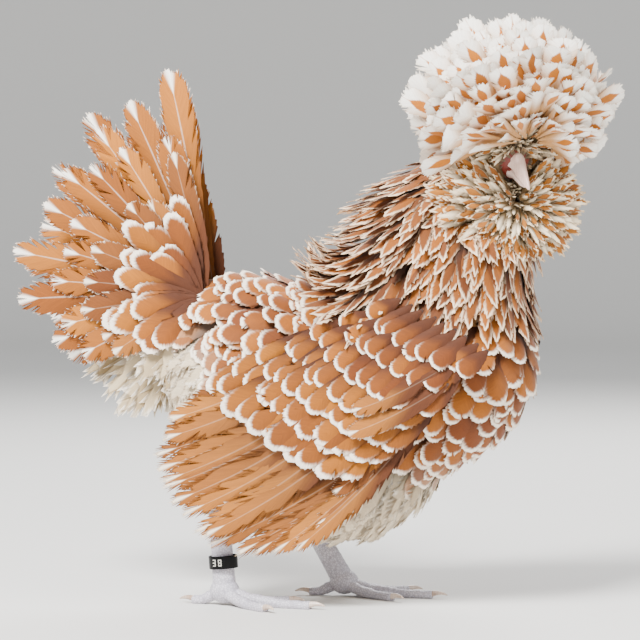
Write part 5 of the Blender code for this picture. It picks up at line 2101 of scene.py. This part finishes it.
@dataclass
class Leg:
    """A bare shank with its four scaled toes and claws."""

    maker: MeshMaker
    side: Side
    place: tuple[float, float]  # the ankle's, in mm
    lean: float  # of the shank toward the tail
    ankle: float = 9 * MM  # its middle's height
    shank: float = 78 * MM  # its length from there
    scute: float = 4.2 * MM  # the length of a plate
    toe_scute: float = 3.4 * MM

    def scutes(self, path: Array, radii: Array, sides: int, front: float, pitch: float) -> Array:
        """Radii with overlapping plates on the front: each rises along its pitch and drops at its edge.

        Args:
            path: (n, 3).
            radii: plain radii, (n,).
            sides: points round.
            front: the turn at which the plates lie.
            pitch: their length.

        Returns:
            Radii, (n, sides).
        """
        steps = np.concatenate([[0], np.cumsum(np.linalg.norm(np.diff(path, axis=0), axis=1))])
        phase = (steps / pitch) % 1.0
        turn = np.linspace(0, math.tau, sides, endpoint=False)
        facing = smooth(np.cos(turn - front), 0.1, 0.7)
        step = np.floor(steps / pitch)
        wobble = 0.05 * np.sin(step * 2.4)[:, None]
        plate = (phase**0.5 - 0.75)[:, None] * facing[None] * 0.38 * MM
        back = 0.12 * MM * np.sin(steps / (1.9 * MM) * math.pi)[:, None]
        back = back * np.sin(turn * 5)[None] * (1 - facing)
        return radii[:, None] * (1 + wobble * facing) + plate + back

    def build(self) -> list[bpy.types.Object]:
        """Joins the shank, the ankle and the toes into one skin, and adds the claws.

        Returns:
            The pieces.
        """
        name = self.side.name.lower()
        foot = np.array([*self.place, 0.0]) * MM + np.array([0, 0, self.ankle])
        up = np.array([-math.sin(self.lean), 0, math.cos(self.lean)])
        t = np.linspace(0, 1, 150)
        path = foot + up * self.shank * t[:, None]
        swell = 1 + 0.16 * (1 - t) ** 4 + 0.12 * t**4
        sides, toe_sides = 48, 24
        turn = np.linspace(0, math.tau, sides, endpoint=False)
        oval = 1 / np.sqrt((np.cos(turn) / 5.5) ** 2 + (np.sin(turn) / 6.5) ** 2)
        radii = self.scutes(path, MM * swell, sides, math.pi / 2, self.scute)
        radii = (radii - MM * swell[:, None]) + MM * swell[:, None] * oval
        shapes = [tube(path, radii, sides, np.array([1.0, 0, 0]))]
        shapes.append(ball(foot, np.array([9.4, 7.4, 8.0]) * MM))
        horn = Horn("claw_horn", light="E2CFC0", dark="A98B78").material()
        made = []
        for toe, splay, length in TOES:
            angle = -self.side.value * math.radians(splay)
            points, thick = self.toe(foot, angle, length * MM, toe == "hind")
            plates = self.scutes(points, thick, toe_sides, math.pi / 2, self.toe_scute)
            shapes.append(tube(points, plates, toe_sides, np.array([0, 0, 1.0])))
            made.append(self.claw(f"claw_{name}_{toe}", points[-1], angle, thick[-1], horn))
        points, faces = joined(*shapes)
        points[:, 2] = np.maximum(points[:, 2], 0.05 * MM)
        scales = Scales().material()
        made.append(self.maker.piece(f"leg_{name}_skin", points, faces, scales, "scales", (f"leg_{name}",)))
        return made

    @staticmethod
    def toe(foot: Array, angle: float, length: float, hind: bool) -> tuple[Array, Array]:
        """A toe's middle line and radii: it falls from the ankle to the floor and swells at each pad.

        Args:
            foot: the ankle's middle.
            angle: the way it points, about +Z.
            length: from the ankle to the claw.
            hind: whether it is the hind toe.

        Returns:
            Points, (n, 3), and radii, (n,).
        """
        way = np.array([math.cos(angle), math.sin(angle), 0])
        t = np.linspace(0, 1, 80)
        pads = 0.09 * np.sin(t * 5 * math.pi) * (1 - t)
        radii = 4.3 * MM * (1 - 0.32 * t * (2 - t)) * (1 + pads)
        rest = radii - 0.9 * MM
        rise = 12 * MM if hind else 9 * MM
        points = foot * (1, 1, 0) + way * length * t[:, None]
        points[:, 2] = rest + (rise - rest) * (1 - t) ** (2.2 if hind else 3)
        return points, radii

    def claw(
        self, name: str, tip: Array, angle: float, radius: float, finish: bpy.types.Material
    ) -> bpy.types.Object:
        """A curved claw from the toe's end: out, up a little, then down to a point on the floor.

        Args:
            name: the solid it stands for.
            tip: the toe's end.
            angle: the way it points, about +Z.
            radius: the toe's there.
            finish: the horn.

        Returns:
            The piece.
        """
        way = np.array([math.cos(angle), math.sin(angle), 0])
        t = np.linspace(0, 1, 28)
        path = tip + way * (11 * MM * t[:, None] - 1.2 * MM)
        path[:, 2] += 0.6 * MM + 1.3 * MM * np.sin(t * math.pi * 0.8) - (tip[2] - 0.9 * MM) * t**2
        thick = radius * 0.62 * (1 - t) ** 0.7 + 0.2 * MM
        points, faces = tube(path, thick[:, None], 18, np.array([0, 0, 1.0]))
        points[:, 2] = np.maximum(points[:, 2], 0.05 * MM)
        return self.maker.piece(f"{name}_horn", points, faces, finish, "claw", (name,))


@dataclass
class Band:
    """The leg ring with two plain numbers on its outer face."""

    maker: MeshMaker
    lean: float = math.radians(4.0)
    inner: float = 8 * MM  # radius
    outer: float = 9 * MM
    height: float = 8 * MM

    def build(self) -> list[bpy.types.Object]:
        """A ring with rounded edges, cos and sin to the power of 1/4, and the numbers wrapped round it.

        Returns:
            The pieces.
        """
        turn = np.linspace(0, math.tau, 128, endpoint=False)[:, None]
        roll = np.linspace(0, math.tau, 24, endpoint=False)[None]
        middle, half = (self.inner + self.outer) / 2, (self.outer - self.inner) / 2
        reach = middle + half * np.sign(np.cos(roll)) * np.abs(np.cos(roll)) ** 0.25 * 0.98
        rise = self.height / 2 * np.sign(np.sin(roll)) * np.abs(np.sin(roll)) ** 0.25
        ring = self.around(turn + 0 * roll, reach + 0 * turn, rise + 0 * turn)
        faces = [tuple(f)[::-1] for f in grid_faces(128, 24, round_rows=True)]
        black = RingPlastic("ring_black", "060607", "141518").material()
        pale = RingPlastic("ring_numbers", "D9D6CC", "A9A69C").material()
        strokes = []
        for digit, offset in ((3, -2.4), (8, 2.4)):
            strokes += self.digit(digit, offset * MM)
        return [
            self.maker.piece("ring", ring.reshape(-1, 3), faces, black, "ring", ("leg_band",)),
            self.maker.piece("ring_digits", *joined(*strokes), pale, "ring"),
        ]

    def around(self, turn: Array, reach: Array, rise: Array) -> Array:
        """Points about the leaning axis.

        Args:
            turn: from the bird's right.
            reach: from the axis.
            rise: along it.

        Returns:
            Points, (..., 3).
        """
        up = np.array([-math.sin(self.lean), 0, math.cos(self.lean)])
        front = np.array([up[2], 0, -up[0]])
        aside = np.array([0.0, -1.0, 0.0])
        way = aside * np.cos(turn)[..., None] + front * np.sin(turn)[..., None]
        return BAND_CENTRE + way * reach[..., None] + up * rise[..., None]

    def digit(self, number: int, offset: float) -> list[tuple[Array, list]]:
        """The strokes of one number as thin raised blocks, in the way of a seven-stroke display.

        Args:
            number: 3 or 8.
            offset: of its middle round the ring.

        Returns:
            Vertices and faces of each stroke.
        """
        strokes = {
            "a": ((-1, 2), (1, 2)),
            "b": ((1, 0), (1, 2)),
            "c": ((1, -2), (1, 0)),
            "d": ((-1, -2), (1, -2)),
            "e": ((-1, -2), (-1, 0)),
            "f": ((-1, 0), (-1, 2)),
            "g": ((-1, 0), (1, 0)),
        }
        shown = {3: "abcdg", 8: "abcdefg"}[number]
        grow, stations = 0.32, 6
        made = []
        for key in shown:
            (x0, y0), (x1, y1) = strokes[key]
            x = np.linspace(min(x0, x1) - grow, max(x0, x1) + grow, stations) * MM + offset
            y = np.array([min(y0, y1) - grow, max(y0, y1) + grow]) * 0.9 * MM
            r = np.array([self.outer - 0.2 * MM, self.outer + 0.12 * MM])
            section = np.array([(0, 0), (0, 1), (1, 1), (1, 0)])
            turn = (0.8 * x / self.outer - 0.12)[:, None] + np.zeros(4)
            points = self.around(turn, r[section[:, 0]][None] + 0 * turn, y[section[:, 1]][None] + 0 * turn)
            faces = [tuple(f) for f in grid_faces(stations, 4)]
            faces += [(3, 2, 1, 0), tuple(range(4 * stations - 4, 4 * stations))]
            made.append((points.reshape(-1, 3), [face[::-1] for face in faces]))
        return made


@dataclass
class Studio:
    """A plain pale floor, soft light and the camera at the photograph's angle."""

    stance: Stance
    lens: float = 190.5  # in mm, on a sensor 36 mm wide
    distance: float = 2.1  # in metres, as are height and aside
    height: float = 0.263
    aside: float = -0.0124
    pitch: float = math.radians(2.37)  # downward

    def build(self) -> None:
        """Makes the floor, the world, three area lights and the camera."""
        self.floor()
        self.light("key", (-0.7, -1.3, 1.6), 150.0, 0.7)
        self.light("fill", (1.3, -1.0, 0.9), 14.0, 1.2)
        self.light("back", (0.3, 1.4, 1.3), 40.0, 1.0)
        world = bpy.data.worlds.new("studio")
        bpy.context.scene.world = world
        world.use_nodes = True
        shade = world.node_tree.nodes["Background"]
        shade.inputs[0].default_value = linear("E9EDF2")
        shade.inputs[1].default_value = 0.62
        data = bpy.data.cameras.new("camera")
        data.sensor_width = 36.0
        data.lens = self.lens
        camera = bpy.data.objects.new("camera", data)
        bpy.context.collection.objects.link(camera)
        camera.location = Vector((self.aside, -self.distance, self.height)) + Vector(self.stance.shift)
        camera.rotation_euler = (math.pi / 2 - self.pitch, 0, 0)
        bpy.context.scene.camera = camera

    def floor(self) -> None:
        """A wide matt bowl that curves up all round, so that the bird is seen from any side.

        At a length s along its profile the radius is s on the flat, then a quarter circle follows and
        a low wall.
        """
        rings, sides = 40, 120
        flat, radius, wall = 3.4, 1.2, 0.3
        s = np.linspace(0, 1, rings + 1)[1:] * (flat + radius * math.pi / 2 + wall)
        angle = np.clip((s - flat) / radius, 0, math.pi / 2)
        reach = (np.minimum(s, flat) + radius * np.sin(angle))[:, None]
        rise = (radius * (1 - np.cos(angle)) + np.maximum(s - flat - radius * math.pi / 2, 0))[:, None]
        turn = np.linspace(0, math.tau, sides, endpoint=False)[None]
        grid = np.stack([reach * np.cos(turn), reach * np.sin(turn), rise + 0 * turn], -1).reshape(-1, 3)
        grid = np.concatenate([grid, np.zeros((1, 3))])
        centre = len(grid) - 1
        faces = [tuple(f) for f in grid_faces(rings, sides)]
        faces += [(centre, (i + 1) % sides, i) for i in range(sides)]
        mesh = bpy.data.meshes.new("floor")
        mesh.from_pydata(grid.tolist(), [], [tuple(int(i) for i in face) for face in faces])
        mesh.shade_smooth()
        made, _ = blank_material("floor_paper", {"Base Color": "DCDAD6", "Roughness": 0.9})
        mesh.materials.append(made)
        shape = bpy.data.objects.new("floor", mesh)
        bpy.context.collection.objects.link(shape)

    def light(self, name: str, place: tuple[float, float, float], power: float, size: float) -> None:
        """One soft square light that faces the bird.

        Args:
            name: its name.
            place: where it hangs.
            power: in watts.
            size: its side.
        """
        data = bpy.data.lights.new(name, "AREA")
        data.energy, data.size = power, size
        shape = bpy.data.objects.new(name, data)
        bpy.context.collection.objects.link(shape)
        shape.location = place
        aim = Vector((0, 0, 0.18)) - Vector(place)
        shape.rotation_euler = aim.to_track_quat("-Z", "Y").to_euler()


def find_stance() -> Stance:
    """Where the bird stands: the middle of the leg band's box against its place in the bird's frame.

    Returns:
        The stance.
    """
    low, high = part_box("leg_band")
    middle = (np.array(low) + np.array(high)) / 2
    turned = Stance().place(BAND_CENTRE)
    return Stance(shift=(middle[0] - turned[0], middle[1] - turned[1], 0.0))


def main() -> None:
    """Builds the frame, the studio and each sub-assembly in order."""
    logging.basicConfig(level=logging.INFO, format="%(name)s: %(message)s")
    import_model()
    stance = find_stance()
    LOG.info("stance %s", stance)
    maker = MeshMaker(stance)
    Studio(stance).build()
    Skin(maker).build()
    Face(maker).build()
    Leg(maker, Side.RIGHT, (-64.0, -34.0), math.radians(4.0)).build()
    Leg(maker, Side.LEFT, (-8.0, 34.0), math.radians(31.0)).build()
    Band(maker).build()
    BodyCoat(maker).build()
    NeckCoat(maker).build()
    FaceCoat(maker).build()
    for feathers in head_balls(maker):
        feathers.build()
    for side in Side:
        Wing(maker, side).build()
    Tail(maker).build()


if __name__ == "__main__":
    main()
